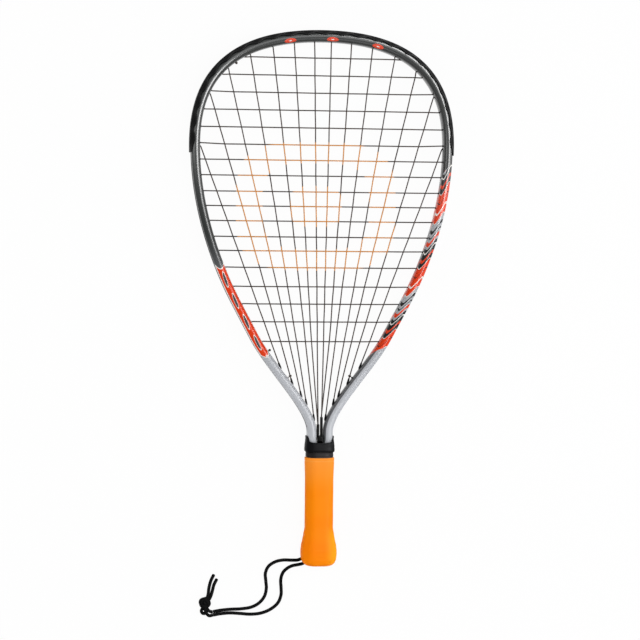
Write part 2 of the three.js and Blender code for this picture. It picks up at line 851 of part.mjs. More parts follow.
function bumperRing(run) {
  const foot = away(bevelFoot, bevelOut, clearance);
  const inner = away(foot, bevelRise, lipLength(run));
  const outer = away(inner, bevelOut, bumperShell);
  const face = frameWidth / 2 + bumperProud;
  const half = [
    [stripBase, grooveFloorHalf - clearance],
    [frameWidth / 2 + clearance, grooveMouthHalf - clearance],
    foot.toArray(),
    inner.toArray(),
    outer.toArray(),
    [face, bevelFoot.y * bumperCornerShare],
    [face, channelHalf],
    [stripTop, channelHalf],
  ];
  return mirrored(half).map(([out, up]) => onFrame(run, out, up));
}

// Stations straddle each scallop's crest, so that its top is flat
function bumperRuns() {
  const step = scallopPitch / scallopSteps;
  const inner = evenRuns(0, bumperEndRun, step).map((run) => run + step / 2)
    .filter((run) => run < bumperEndRun - step / 2);
  return [-bumperEndRun, ...backwards(inner).map((run) => -run), ...inner, bumperEndRun];
}

const bumperBarrels = barrels.filter((barrel) => barrel.run < bumperEndRun);
const bumperBlank = solid(loft(bumperRuns().map(bumperRing)));
addPart('bumper_guard', withBarrels(bumperBlank, bumperBarrels), finishes.guard);

// Throat guide: a block between the legs, with a tube for each inner pair of mains

function buildGuide() {
  const edge = [guideTopY, guideFootY].map((y) => {
    const run = findRun(sideRun, outlineLength, (at) => onWall(at).y - y);
    return point2(frameRing(run)[0].x - 2 * clearance, y);
  });
  const shape = new THREE.Shape([...edge, ...backwards(edge).map(({ x, y }) => point2(-x, y))]);
  const block = solid(new THREE.ExtrudeGeometry(shape, {
    depth: guideBlockDepth,
    bevelEnabled: false,
  }).translate(0, 0, restHeight - guideBlockDepth / 2));
  const upright = (hand, width, depth, past) => {
    const top = guideTopY + (hand < 0 ? guideReach.left : guideReach.right) + past;
    const foot = guideFootY - past;
    return box(
      vector(width, top - foot, depth),
      vector(guideHalf * hand, (top + foot) / 2, restHeight),
    );
  };
  const hands = [-1, 1];
  const tubes = hands.map((hand) => upright(hand, guideTubeWidth, guideTubeDepth, 0));
  const slotDepth = boreDiameter + 2 * guideRow;
  const slots = hands.map((hand) => upright(hand, boreDiameter, slotDepth, overrun));
  return geometryOf(without(joined([block, ...tubes]), slots));
}

addPart('throat_guide', buildGuide(), finishes.guard);

// Handle pieces are lofts of one octagon with eased corners

function octagonRing(width, depth, y) {
  const [flatX, flatZ] = octagonFlatShares;
  const corners = [
    [1, -flatZ],
    [1, flatZ],
    [flatX, 1],
    [-flatX, 1],
    [-1, flatZ],
    [-1, -flatZ],
    [-flatX, -1],
    [flatX, -1],
  ].map(([x, z]) => vector((x * width) / 2, y, restHeight + (z * depth) / 2));
  return corners.flatMap((corner, i) => {
    const before = corners[(i + corners.length - 1) % corners.length];
    const after = corners[(i + 1) % corners.length];
    return [before, after].map((other) => corner.clone().lerp(other, octagonCornerShare));
  });
}

const palletTopY = collarTopY - palletTopBelowCollar;
const capFloorY = legEndY - capFloorGap;
const skirtTopY = capSwellShares[0][0] * handleLength - halfLength;
const palletSeat = [palletWidth + 2 * clearance, palletDepth + 2 * clearance];
const gripWall = (gripWidth - palletWidth) / 2 - clearance;

function swellRing([distance, open], inset) {
  return octagonRing(
    lerp(gripWidth, buttWidth, open) - 2 * inset,
    lerp(gripDepth, buttDepth, open) - 2 * inset,
    distance * handleLength - halfLength,
  );
}

// Staples

const capInset = gripWall + clearance;

function capHalfDepth(y) {
  const distance = (y + halfLength) / handleLength;
  const i = capSwellShares.findIndex(([share]) => share < distance);
  const [above, below] = [capSwellShares[i - 1], capSwellShares[i]];
  const open = lerp(above[1], below[1], (above[0] - distance) / (above[0] - below[0]));
  return lerp(gripDepth, buttDepth, open) / 2 - capInset;
}

function staple(side, fit) {
  const y = stapleInset - halfLength;
  const wire = stapleWire + 2 * fit;
  const leg = stapleLeg + fit;
  const crownHeight = restHeight + side * (capHalfDepth(y) - stapleWire / 2);
  const legX = (stapleSpan - stapleWire) / 2;
  return joined([
    box(vector(stapleSpan + 2 * fit, wire, wire), vector(0, y, crownHeight)),
    ...[-legX, legX].map((x) =>
      box(vector(wire, wire, leg), vector(x, y, crownHeight - (side * leg) / 2))),
  ]);
}

// Wrist cord's channel: two slanted bores joined by a turn round a bridge of the cap

const cordRadius = cordDiameter / 2;
const cordAlong = vector(-Math.cos(cordHoleTurn), -Math.sin(cordHoleTurn), -cordHoleFall)
  .normalize();
const cordAcross = vector(-Math.sin(cordHoleTurn), Math.cos(cordHoleTurn), 0);
const cordTurnPlace = vector(cordTurnSide, cordTurnInset - halfLength, cordTurnHeight);
const cordBore = (side, distance) =>
  away(away(cordTurnPlace, cordAcross, (side * cordHoleSpacing) / 2), cordAlong, distance);

function cordChannel(radius, length) {
  const turn = Array.from({ length: cordTurnSteps + 1 }, (_, k) => {
    const angle = (k / cordTurnSteps) * Math.PI;
    const reach = cordHoleSpacing / 2;
    const abreast = away(cordTurnPlace, cordAcross, reach * Math.cos(angle));
    return away(abreast, cordAlong, -reach * Math.sin(angle));
  });
  return tube([cordBore(1, length), ...turn, cordBore(-1, length)], radius, cordSides);
}

const cordChannelCut = solid(cordChannel(cordRadius + cordHoleClearance, buttWidth));

// Pallets, butt cap and staples

function buildPallet(side) {
  const blank = loft([palletTopY, legEndY].map((y) => octagonRing(palletWidth, palletDepth, y)));
  const reach = palletDepth + palletSplit;
  const split = box(
    vector(palletWidth * 2, handleLength * 2, reach),
    vector(0, legEndY, restHeight - (side * (reach - palletSplit)) / 2),
  );
  const legShares = mirrored(Object.values(sectionShares));
  const legs = [-1, 1].map((hand) => solid(loft(
    [palletTopY + overrun, legEndY - overrun].map((y) => legShares.map(([out, up]) => vector(
      (legHalf + out * (legWidth + 2 * clearance)) * hand,
      y,
      restHeight + up * (legDepth + 2 * clearance),
    ))),
  )));
  return geometryOf(without(solid(blank), [split, ...legs, staple(side, stapleFit)]));
}

function buildCap() {
  const blank = solid(loft(capSwellShares.map((share) => swellRing(share, capInset))));
  const pocket = solid(loft([skirtTopY + overrun, capFloorY].map((y) =>
    octagonRing(...palletSeat, y))));
  return geometryOf(without(blank, [
    pocket,
    cordChannelCut,
    staple(1, stapleFit),
    staple(-1, stapleFit),
  ]));
}

addPart('butt_cap', buildCap(), finishes.cap);
[['front', 1], ['back', -1]].forEach(([name, side]) => {
  addPart(`handle_pallet_${name}`, buildPallet(side), finishes.pallet);
  addPart(`butt_cap_staple_${name}`, geometryOf(staple(side, 0)), finishes.steel);
});

// Grip: one rubber sleeve, closed over the butt

function buildGrip() {
  const top = collarTopY - gripTopBelowCollar;
  const cavity = capSwellShares.map((share) => swellRing(share, gripWall));
  cavity[cavity.length - 1].forEach((point) => {
    point.y -= clearance;
  });
  const rings = [
    ...backwards(buttSwellShares).map((share) => swellRing(share, 0)),
    octagonRing(gripWidth, gripDepth, top - gripTopEase),
    octagonRing(gripWidth - 2 * gripTopEase, gripDepth - 2 * gripTopEase, top),
    octagonRing(...palletSeat, top),
    octagonRing(...palletSeat, skirtTopY + overrun),
    ...cavity,
  ];
  return geometryOf(without(solid(loft(rings)), [cordChannelCut]));
}

addPart('grip', buildGrip(), finishes.grip);

// Throat collar and grip band

function collarRing(width, depth, y, dip) {
  const left = collarQuarterShares.slice(0, -1).reverse().map(([x, z, drop]) => [-x, z, drop]);
  const top = [...collarQuarterShares, ...left];
  const under = top.slice(1, -1).reverse().map(([x, z, drop]) => [x, -z, drop]);
  return [...top, ...under].map(([x, z, drop]) =>
    vector((x * width) / 2, y - dip * drop, restHeight + (z * depth) / 2));
}

const collarFootY = collarTopY - collarLength;

function buildCollar() {
  const legOuter = frameAt(runAtY(collarTopY)).middle.x + frameWidth / 2;
  const mouth = [2 * (legOuter + clearance), frameDepth + 2 * clearance];
  const rim = mouth.map((size) => size + 2 * collarWall);
  return loft([
    collarRing(...rim, collarTopY, collarDip),
    collarRing(collarFootWidth, collarFootDepth, collarFootY + collarFootRound, 0),
    collarRing(collarFootWidth - collarWall, collarFootDepth - collarWall, collarFootY, 0),
    collarRing(...palletSeat, collarFootY, 0),
    collarRing(...palletSeat, palletTopY, 0),
    collarRing(...mouth, collarTopY, collarDip),
  ], true);
}

addPart('throat_collar', buildCollar(), finishes.collar);

function buildBand() {
  const top = collarFootY - clearance;
  const foot = top - bandLength;
  return loft([
    octagonRing(bandWidth, bandDepth, top),
    octagonRing(bandWidth, bandDepth, foot),
    octagonRing(...palletSeat, foot),
    octagonRing(...palletSeat, top),
  ], true);
}

addPart('grip_band', buildBand(), finishes.band);

// Wrist cord: a loop through the cap, its two strands laid on the surface and knotted together

addPart('cord_anchor_loop', cordChannel(cordRadius, cordAnchorLength), finishes.cord);

const lying = cordRadius + cordRestGap;
const upperStrandPoints = [
  [-19.8, -275.3, 4.3],
  [-26.5, -275.8, 2.4],
  [-35.5, -275.7, lying],
  [-44, -277.6, lying],
  [-50.9, -282.3, lying],
  [-54, -289.4, lying],
  [-53.5, -297.5, lying],
  [-52.9, -305.2, lying],
  [-54.8, -313.6, lying],
  [-60.4, -320.6, lying],
  [-68.5, -324.9, lying],
  [-79.2, -326.6, lying],
  [-91, -327, lying],
  [-101, -327.9, lying],
  [-108.9, -329.2, lying],
].map((point) => vector(...point));
const lowerStrandPoints = [
  [-15.8, -279.4, 4.3],
  [-20.5, -280.6, 3],
  [-26, -281.9, lying],
  [-31.2, -284.6, lying],
  [-35.5, -289, lying],
  [-37.7, -296.4, lying],
  [-37.3, -304.6, lying],
  [-37.3, -312.4, lying],
  [-40.6, -320.9, lying],
  [-49, -327.8, lying],
  [-58.6, -331.4, lying],
  [-69.5, -332.4, lying],
  [-80.5, -331.5, lying],
  [-91, -330.8, lying],
  [-101, -331.5, lying],
  [-108.9, -332.8, lying],
].map((point) => vector(...point));

const strandFrom = (side, points) =>
  [cordBore(side, cordAnchorLength + clearance), cordBore(side, cordMouth), ...points];

function cordTube(points, radius, sides) {
  const section = new THREE.Shape(Array.from({ length: sides }, (_, i) => {
    const turn = ((i + 0.5) / sides) * 2 * Math.PI;
    return point2(radius * Math.cos(turn), radius * Math.sin(turn));
  }));
  const path = new THREE.CatmullRomCurve3(points);
  const steps = Math.round(path.getLength() / cordStep);
  return welded(new THREE.ExtrudeGeometry(section, { steps, extrudePath: path }));
}

const upperStrand = strandFrom(1, upperStrandPoints);
const lowerStrand = strandFrom(-1, lowerStrandPoints);
addPart('wrist_cord_upper', cordTube(upperStrand, cordRadius, cordSides), finishes.cord);
addPart('wrist_cord_lower', cordTube(lowerStrand, cordRadius, cordSides), finishes.cord);

// The knot: its turns, the eye below them, the two strands' ends and the two cut tails

const knotPlace = vector(-118, -319.2, 5.4);
const knotTurnRadius = 4.4;
const knotTurnTilts = [[0.25, 0.5], [-0.75, 0.2]];
const eyePlace = vector(-118.4, -328.4, lying);
const eyeRadius = 2.7;
const knotCordSides = 6;
const knotCoreSteps = [8, 5];
const ringTurnSteps = [5, 9];
const strandEndPoints = [
  [[-109.2, -329.25, lying], [-110.6, -329.4, lying], [-114, -327.6, 2.6], [-117, -321, 4.6]],
  [[-109.2, -332.85, lying], [-113, -333.4, 1.8], [-115.9, -330.8, 2.6], [-117.5, -326.6, 3.8],
    [-118.4, -321.6, 4.8]],
].map((points) => points.map((point) => vector(...point)));
const tailPoints = [
  [[-117, -317, 5.6], [-114.6, -311.5, 4.2], [-113.4, -304, 1.9], [-111.4, -296.6, lying],
    [-108.2, -290, lying]],
  [[-115, -318.5, 5], [-111.8, -313.2, 3.2], [-109.8, -307.4, lying], [-108.2, -301, lying],
    [-105, -294.6, lying]],
].map((points) => points.map((point) => vector(...point)));

function ringTurn(radius, [tiltX, tiltY], place) {
  const turn = new THREE.TorusGeometry(radius, cordRadius, ...ringTurnSteps);
  turn.rotateX(tiltX).rotateY(tiltY).translate(...place.toArray());
  return solid(turn);
}

function buildKnot() {
  const core = new THREE.SphereGeometry(knotTurnRadius, ...knotCoreSteps)
    .translate(...knotPlace.toArray());
  const above = box(
    vector(handleLength, handleLength, buttDepth),
    vector(knotPlace.x, knotPlace.y, buttDepth / 2),
  );
  return geometryOf(joined([
    solid(core),
    ...knotTurnTilts.map((tilt) => ringTurn(knotTurnRadius, tilt, knotPlace)),
    ringTurn(eyeRadius, [0, 0], eyePlace),
    ...strandEndPoints.map((points) => solid(cordTube(points, cordRadius, knotCordSides))),
    ...tailPoints.map((points) => solid(cordTube(points, cordRadius, knotCordSides))),
  ]).intersect(above));
}

addPart('wrist_cord_knot', buildKnot(), finishes.cord);

export default group;
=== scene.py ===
import math

import bmesh
import bpy
import numpy as np
from bpy.props import FloatProperty, FloatVectorProperty, IntProperty, PointerProperty
from mathutils import Matrix, Vector


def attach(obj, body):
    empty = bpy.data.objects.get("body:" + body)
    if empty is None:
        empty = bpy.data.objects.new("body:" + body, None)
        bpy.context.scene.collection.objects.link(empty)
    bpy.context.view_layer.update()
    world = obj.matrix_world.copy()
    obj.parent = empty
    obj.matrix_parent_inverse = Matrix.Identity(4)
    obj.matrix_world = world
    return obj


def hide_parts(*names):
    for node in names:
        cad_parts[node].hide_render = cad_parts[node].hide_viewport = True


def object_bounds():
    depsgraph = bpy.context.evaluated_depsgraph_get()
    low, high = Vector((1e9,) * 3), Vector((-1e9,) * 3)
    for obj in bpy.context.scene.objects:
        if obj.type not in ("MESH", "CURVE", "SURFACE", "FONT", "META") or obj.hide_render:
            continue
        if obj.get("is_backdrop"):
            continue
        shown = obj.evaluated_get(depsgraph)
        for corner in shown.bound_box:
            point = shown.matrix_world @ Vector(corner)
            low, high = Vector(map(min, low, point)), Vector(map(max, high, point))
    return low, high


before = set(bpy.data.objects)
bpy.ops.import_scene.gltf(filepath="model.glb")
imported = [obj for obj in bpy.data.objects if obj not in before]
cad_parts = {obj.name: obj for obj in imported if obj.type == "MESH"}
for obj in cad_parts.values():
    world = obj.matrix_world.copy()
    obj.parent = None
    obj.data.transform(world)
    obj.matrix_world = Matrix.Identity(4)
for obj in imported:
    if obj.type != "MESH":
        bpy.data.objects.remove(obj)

bl_info = {
    "name": "Strung racket",
    "version": (1, 0, 0),
    "blender": (4, 5, 0),
    "location": "View3D > Sidebar > Racket",
    "description": "Dresses a strung racket with its frame, guards, strings, handle and wrist cord",
    "category": "Add Mesh",
}

BODY = "root"
MM = 0.001
CAD_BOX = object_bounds()

# Overall sizes, in millimetres as all sizes here but those of the finishes and the studio

OVERALL_LENGTH = 558.8
HEAD_WIDTH = 275.0
HANDLE_LENGTH = 136.0
BUTT_WIDTH = 37.2
BUTT_DEPTH = 33.0
CLEARANCE = 0.3
HALF_LENGTH = OVERALL_LENGTH / 2
REST = BUTT_DEPTH / 2
COLLAR_TOP = HANDLE_LENGTH - HALF_LENGTH

# Frame tube and outline

FRAME_WIDTH = 9.7
FRAME_DEPTH = 21.0
BUMPER_PROUD = 1.5
CROWN_RISE = 113.6
FLANK_ANGLE = math.radians(28.1)
FLANK_LENGTH = 39.7
THROAT_HALF = 8.5
THROAT_ABOVE_COLLAR = 5.0
LEG_LEAN = math.radians(1.4)
LEG_WIDTH = 8.2
LEG_DEPTH = 15.0
LEG_HALF = 7.0
LEG_NARROWING = 10.0
LEG_NARROWING_START = 1.6
LEG_END_INSET = 17.4
CROWN_PULL = (0.689, 0.659)
SIDE_PULL = (0.476, 0.136)
THROAT_PULL = (0.385, 0.247)
SLIM_PULL = 0.45
FLANK_MIDDLE = (0.598, 0.611)
CROWN = HALF_LENGTH - BUMPER_PROUD - FRAME_WIDTH / 2
HEAD_HALF = (HEAD_WIDTH - FRAME_WIDTH) / 2
WIDEST = CROWN - CROWN_RISE
THROAT = COLLAR_TOP + THROAT_ABOVE_COLLAR
NARROW = COLLAR_TOP - LEG_NARROWING_START
LEG_END = LEG_END_INSET - HALF_LENGTH
INNER_WALL = -FRAME_WIDTH / 2

# Half of the tube's section from the inner wall to the groove: out, up and how far it is eased

SECTION = (
    (-0.5, 0.27, 0.45),
    (-0.27, 0.45, 0.45),
    (0.08, 0.5, 0.48),
    (0.46, 0.37, 0.3),
    (0.5, 0.165, 0.2),
)
GROOVE_FLOOR = (0.17, 0.145)
GROOVE_RUN_OUT = 3.6
CROWN_SWELL = 1.4
CROWN_SWELL_RUNS = (60, 170)

# Strings

WEAVE = 0.85
ROW = 0.85
GROOVE_TURN = 3.2
GROOVE_RUN = 3.8
RETURN_STEP = 16.0
MAIN_TOPS = (1.027, 0.818, 0.646, 0.481, 0.324, 0.185, 0.055)
MAIN_LOWS = (0.297, 0.2415, 0.188, 0.146, 0.088, 0.0545, 0.0195)
CROSSES = (
    0.0548, 0.0995, 0.1435, 0.1877, 0.2317, 0.275, 0.3139, 0.3533, 0.3936,
    0.4306, 0.4682, 0.5081, 0.5436, 0.5857, 0.634, 0.678, 0.7232, 0.7731,
)
LEG_MAINS = 5
HOLE_SPACING = 3.0
CROSS_TIE_SHARES = (0.5, 0.35)
TOP_REFERENCE = WIDEST + 35.5
LOW_REFERENCE = THROAT + 63.4
KNOT_RADIUS = 1.7
KNOT_LENGTH = 2.0
KNOT_STAND_OFF = 1.6
KNOT_TAIL = 0.3

# Grommets and guards

BARREL = 2.8
BARREL_BORE = 2.1
BARREL_TIP = 0.5
STRING_LIFT = 0.1
TIE_BARREL_TIP = 0.3
LEG_BARREL_REACH = 6.5
LEG_HOLE_LEAN = math.radians(25)
LEG_LEAN_SHARES = (1, 1, 1, 0.8, 0.4)
STRIP_FLOOR = 0.8
CHANNEL_HALF = 1.85
RIDGE_RISE = 1.7
STRIP_JOINT = 0.4
STRIP_PAST_BARREL = 3.4
BUMPER_BELOW_WIDEST = 8.5
BUMPER_SHELL = 1.2
LIP_REACH = 3.3
LIP_SCALLOP = 1.2
LIP_END = 0.3
BUMPER_CORNER = 0.62
GUIDE_HALF = 1.8
GUIDE_TUBE = (2.6, 5.2)
GUIDE_ROW = 1.0
GUIDE_TOP = COLLAR_TOP - 0.2
GUIDE_FOOT = GUIDE_TOP - 5.6
GUIDE_DEPTH = 17.0
GUIDE_REACH = {-1: 12.0, 1: 19.5}

# Handle

PALLET = (25.0, 21.8)
OCTAGON_FLATS = (0.57, 0.5)
OCTAGON_EASE = 0.3
GRIP_WIDTH = 29.2
GRIP_DEPTH = 26.0
GRIP_TOP = COLLAR_TOP - 22.6
GRIP_FLARE = 1.3
GRIP_FLARE_REACH = 14.0
GRIP_LINE_DROP = 3.4
SWELL = (
    (0.29, 0.0), (0.245, 0.2), (0.21, 0.48), (0.165, 0.74), (0.12, 1.0),
    (0.083, 1.0), (0.047, 0.85), (0.021, 0.45), (0.006, -0.15), (0.0, -0.75),
)
COLLAR_LENGTH = 16.6
COLLAR_WALL = 0.9
COLLAR_TOP_SIZE = (28.86, 23.4)
COLLAR_FOOT_SIZE = (31.0, 27.0)
COLLAR_DIP = 7.0
BAND_LENGTH = 5.2
BAND_SIZE = (28.4, 25.6)

# Wrist cord

CORD_SPACING = 5.4
CORD_TURN = math.radians(37)
CORD_FALL = 0.28
CORD_TURN_PLACE = np.array((-4.95, 10.85 - HALF_LENGTH, 8.7))
CORD_ANCHOR = 7.0
CORD_MOUTH = 11.5
LYING = 1.6
UPPER_STRAND = (
    (-19.8, -275.3, 4.3), (-26.5, -275.8, 2.4), (-35.5, -275.7, LYING), (-44, -277.6, LYING),
    (-50.9, -282.3, LYING), (-54, -289.4, LYING), (-53.5, -297.5, LYING), (-52.9, -305.2, LYING),
    (-54.8, -313.6, LYING), (-60.4, -320.6, LYING), (-68.5, -324.9, LYING),
    (-79.2, -326.6, LYING), (-91, -327, LYING), (-101, -327.9, LYING), (-108.9, -329.2, LYING),
)
LOWER_STRAND = (
    (-15.8, -279.4, 4.3), (-20.5, -280.6, 3), (-26, -281.9, LYING), (-31.2, -284.6, LYING),
    (-35.5, -289, LYING), (-37.7, -296.4, LYING), (-37.3, -304.6, LYING),
    (-37.3, -312.4, LYING), (-40.6, -320.9, LYING), (-49, -327.8, LYING),
    (-58.6, -331.4, LYING), (-69.5, -332.4, LYING), (-80.5, -331.5, LYING),
    (-91, -330.8, LYING), (-101, -331.5, LYING), (-108.9, -332.8, LYING),
)
KNOT_PLACE = np.array((-118, -319.2, 5.4))
KNOT_WRAPS = (
    (4.8, 0.0, 0.25, 0.5), (4.8, 0.0, -0.75, 0.2), (3.6, 1.9, 0.25, -0.35), (2.4, 0.4, 1.3, 0.6),
    (1.5, 2.4, -0.3, 0.3), (1.5, -1.2, 0.5, -0.3),
)
TAIL_END = (1.0, 0.97, 0.88, 0.66)
LOWEST = 0.06
EYE_PLACE = np.array((-118.4, -328.4, LYING))
EYE_RADIUS = 2.7
STRAND_ENDS = (
    ((-109.2, -329.25, LYING), (-110.6, -329.4, LYING), (-114, -327.6, 2.6), (-117, -321, 4.6)),
    ((-109.2, -332.85, LYING), (-113, -333.4, 1.8), (-115.9, -330.8, 2.6), (-117.5, -326.6, 3.8),
     (-118.4, -321.6, 4.8)),
)
TAILS = (
    ((-117, -317, 5.6), (-114.6, -311.5, 4.2), (-113.4, -304, 1.9), (-111.4, -296.6, LYING),
     (-108.2, -290, LYING)),
    ((-115, -318.5, 5), (-111.8, -313.2, 3.2), (-109.8, -307.4, LYING), (-108.2, -301, LYING),
     (-105, -294.6, LYING)),
)

# Camera

CAMERA_SIDE = math.radians(8)
CAMERA_HEAD = math.radians(1.5)
CAMERA_ROLL = 0.00925
CAMERA_DISTANCE = 2.5
CAMERA_LENS = 134.62
CAMERA_SHIFT = (-0.00125, -0.0335)
CAMERA_CLIP = 20


# Curves in the string plane

HALVINGS = 40


def unit(vector):
    return vector / np.linalg.norm(vector)


def smoothstep(value, low, high):
    share = np.clip((value - low) / (high - low), 0, 1)
    return share * share * (3 - 2 * share)


def lerp(first, last, share):
    return first + (last - first) * share


def bezier(first, second, third, last, steps=240):
    t = np.linspace(0, 1, steps + 1)[:, None]
    points = [np.array(point, float) for point in (first, second, third, last)]
    weights = ((1 - t) ** 3, 3 * t * (1 - t) ** 2, 3 * t * t * (1 - t), t ** 3)
    return sum(weight * point for weight, point in zip(weights, points))


def build_outline():
    """Middle line of the frame's right half from the crown, and the run at each stretch's end"""
    down = np.array((-math.sin(FLANK_ANGLE), -math.cos(FLANK_ANGLE)))
    leg_down = np.array((-math.sin(LEG_LEAN), -math.cos(LEG_LEAN)))
    straight = np.array((0.0, -1.0))
    widest = np.array((HEAD_HALF, WIDEST))
    middle = np.array((HEAD_HALF * FLANK_MIDDLE[0], lerp(WIDEST, THROAT, FLANK_MIDDLE[1])))
    top = middle - down * FLANK_LENGTH / 2
    foot = middle + down * FLANK_LENGTH / 2
    throat = np.array((THROAT_HALF, THROAT))
    neck = throat + leg_down * (THROAT - NARROW) / math.cos(LEG_LEAN)
    slim = np.array((LEG_HALF, NARROW - LEG_NARROWING))
    side_drop = WIDEST - top[1]
    throat_drop = foot[1] - THROAT
    pull = LEG_NARROWING * SLIM_PULL
    stretches = {
        "crown": bezier(
            (0, CROWN), (HEAD_HALF * CROWN_PULL[0], CROWN),
            (HEAD_HALF, WIDEST + CROWN_RISE * CROWN_PULL[1]), widest,
        ),
        "side": bezier(
            widest, (HEAD_HALF, WIDEST - side_drop * SIDE_PULL[0]),
            top - down * side_drop * SIDE_PULL[1], top,
        ),
        "flank": np.array((top, foot)),
        "throat": bezier(
            foot, foot + down * throat_drop * THROAT_PULL[0],
            throat - leg_down * throat_drop * THROAT_PULL[1], throat,
        ),
        "neck": np.array((throat, neck)),
        "slim": bezier(neck, neck + leg_down * pull, slim - straight * pull, slim),
        "leg": np.array((slim, (LEG_HALF, LEG_END))),
    }
    points = [stretches["crown"][0]]
    ends = {}
    runs = [0.0]
    for name, stretch in stretches.items():
        for point in stretch[1:]:
            runs.append(runs[-1] + np.linalg.norm(point - points[-1]))
            points.append(point)
        ends[name] = runs[-1]
    return np.array(runs), np.array(points), ends


RUNS, OUTLINE, ENDS = build_outline()
TANGENTS = np.gradient(OUTLINE, RUNS, axis=0)
TOTAL_RUN = RUNS[-1]


def frame_at(run):
    """Place and outward direction by the run from the crown, negative on the left"""
    run = np.asarray(run, float)
    size = np.minimum(np.abs(run), TOTAL_RUN)
    hand = np.where(run < 0, -1.0, 1.0)
    x, y = (np.interp(size, RUNS, OUTLINE[:, k]) for k in (0, 1))
    along_x, along_y = (np.interp(size, RUNS, TANGENTS[:, k]) for k in (0, 1))
    length = np.hypot(along_x, along_y)
    middle = np.stack((x * hand, y), axis=-1)
    return middle, np.stack((-along_y * hand / length, along_x / length), axis=-1)


def on_frame(run, out, height):
    middle, outward = frame_at(run)
    flat = middle + outward * np.asarray(out, float)[..., None]
    level = np.broadcast_to(REST + np.asarray(height, float), flat.shape[:-1])
    return np.concatenate((flat, level[..., None]), axis=-1)


def find_run(low, high, measure):
    """The run between two others at which a measure, positive at the first, changes sign"""
    for _ in range(HALVINGS):
        middle = (low + high) / 2
        if measure(middle) > 0:
            low = middle
        else:
            high = middle
    return (low + high) / 2


def run_at(y):
    return find_run(0, TOTAL_RUN, lambda run: frame_at(run)[0][1] - y)


def on_wall(run):
    return on_frame(run, INNER_WALL, 0)


# String holes

CROSS_LINES = [lerp(CROWN, THROAT, share) for share in CROSSES]
MAIN_SLOPES = [
    (top - low) * HEAD_WIDTH / 2 / (TOP_REFERENCE - LOW_REFERENCE)
    for top, low in zip(MAIN_TOPS, MAIN_LOWS)
]


def main_x(i, y):
    return MAIN_LOWS[i] * HEAD_WIDTH / 2 + MAIN_SLOPES[i] * (y - LOW_REFERENCE)


def right_holes():
    found = []
    for i, line in enumerate(CROSS_LINES):
        found.append(["cross", i, find_run(0, ENDS["throat"], lambda run: on_wall(run)[1] - line)])
    for i in range(len(MAIN_TOPS)):
        def outside(run):
            return on_wall(run)[0] - main_x(i, on_wall(run)[1])
        found.append(["top", i, find_run(0, ENDS["side"], lambda run: -outside(run))])
        if i < LEG_MAINS:
            found.append(["foot", i, find_run(ENDS["side"], ENDS["throat"], outside)])
    found.sort(key=lambda hole: hole[2])
    for _ in found:
        for before, hole in zip(found, found[1:]):
            short = max(0, HOLE_SPACING - (hole[2] - before[2]))
            before[2] -= short / 2
            hole[2] += short / 2
    return {(kind, i): run for kind, i, run in found}


HOLES = right_holes()


def next_hole(run):
    return min(other for other in HOLES.values() if other > run)


# Routes of strings and barrels

THROUGH_WALL = GROOVE_TURN - INNER_WALL
LIFTED_TIP = BARREL_TIP + STRING_LIFT


def foot_drop(i):
    return THROUGH_WALL * math.tan(LEG_HOLE_LEAN * LEG_LEAN_SHARES[i])


def foot_groove(i):
    return HOLES["foot", i] + foot_drop(i)


STRIP_END = foot_groove(LEG_MAINS - 1) + STRIP_PAST_BARREL
GROOVE_END = float(frame_at(STRIP_END)[0][1]) - CLEARANCE - GROOVE_RUN_OUT


def straight_route(run, height, tip=BARREL_TIP):
    return [on_frame(run, GROOVE_TURN, height), on_frame(run, INNER_WALL - tip, height)]


def foot_route(i, hand):
    wall = on_frame(HOLES["foot", i] * hand, INNER_WALL, -ROW)
    upstream = unit(np.array((MAIN_SLOPES[i] * hand, 1, 0)))
    groove = on_frame(foot_groove(i) * hand, GROOVE_TURN, -ROW)
    return [groove, wall, wall + upstream * LEG_BARREL_REACH]


def groove_route(start, end, height):
    turn = math.copysign(GROOVE_RUN - GROOVE_TURN, end - start)
    steps = max(1, math.ceil(abs(end - start - 2 * turn) / RETURN_STEP))
    return list(on_frame(np.linspace(start + turn, end - turn, steps + 1), GROOVE_RUN, height))


def main_height(i, line, hand):
    over = (line + i + (1 if hand > 0 else 0)) % 2 == 0
    return WEAVE if over else -WEAVE


def main_meets(i, y):
    return y < on_wall(HOLES["top", i])[1] - BARREL / 2


def main_crossings(i, hand):
    return [
        np.array((main_x(i, y) * hand, y, REST + main_height(i, line, hand)))
        for line, y in enumerate(CROSS_LINES) if main_meets(i, y)
    ]


def main_route(i, hand):
    route = straight_route(HOLES["top", i] * hand, -ROW, LIFTED_TIP) + main_crossings(i, hand)
    if i < LEG_MAINS:
        return route + foot_route(i, hand)[::-1]
    height = REST + (-GUIDE_ROW if i == LEG_MAINS else GUIDE_ROW)
    ends = (GUIDE_TOP + GUIDE_REACH[hand], GUIDE_FOOT - CLEARANCE)
    return route + [np.array((GUIDE_HALF * hand, y, height)) for y in ends]


def guide_turn(hand):
    turns = np.linspace(0, math.pi, 9)[1:-1]
    return [
        np.array((
            GUIDE_HALF * hand,
            GUIDE_FOOT - CLEARANCE - GUIDE_ROW * math.sin(turn),
            REST - GUIDE_ROW * math.cos(turn),
        ))
        for turn in turns
    ]


def main_knot_place(hand):
    tip = foot_route(1, hand)[2]
    axis = unit(main_crossings(1, hand)[-1] - tip)
    return tip + axis * KNOT_STAND_OFF, axis


def main_tie_off():
    """Run of the hole for the outermost main's end, and how far that end reaches to its knot"""
    foot, axis = main_knot_place(1)
    centre = foot + axis * KNOT_LENGTH / 2

    def beside(run):
        middle, out = frame_at(run)
        return (centre[0] - middle[0]) * out[1] - (centre[1] - middle[1]) * out[0]

    run = find_run(HOLES["foot", 0], HOLES["foot", 1], beside)
    centre[2] = REST
    return run, np.linalg.norm(on_wall(run) - centre) - KNOT_RADIUS - CLEARANCE


TIE_OFF, TIE_OFF_TIP = main_tie_off()


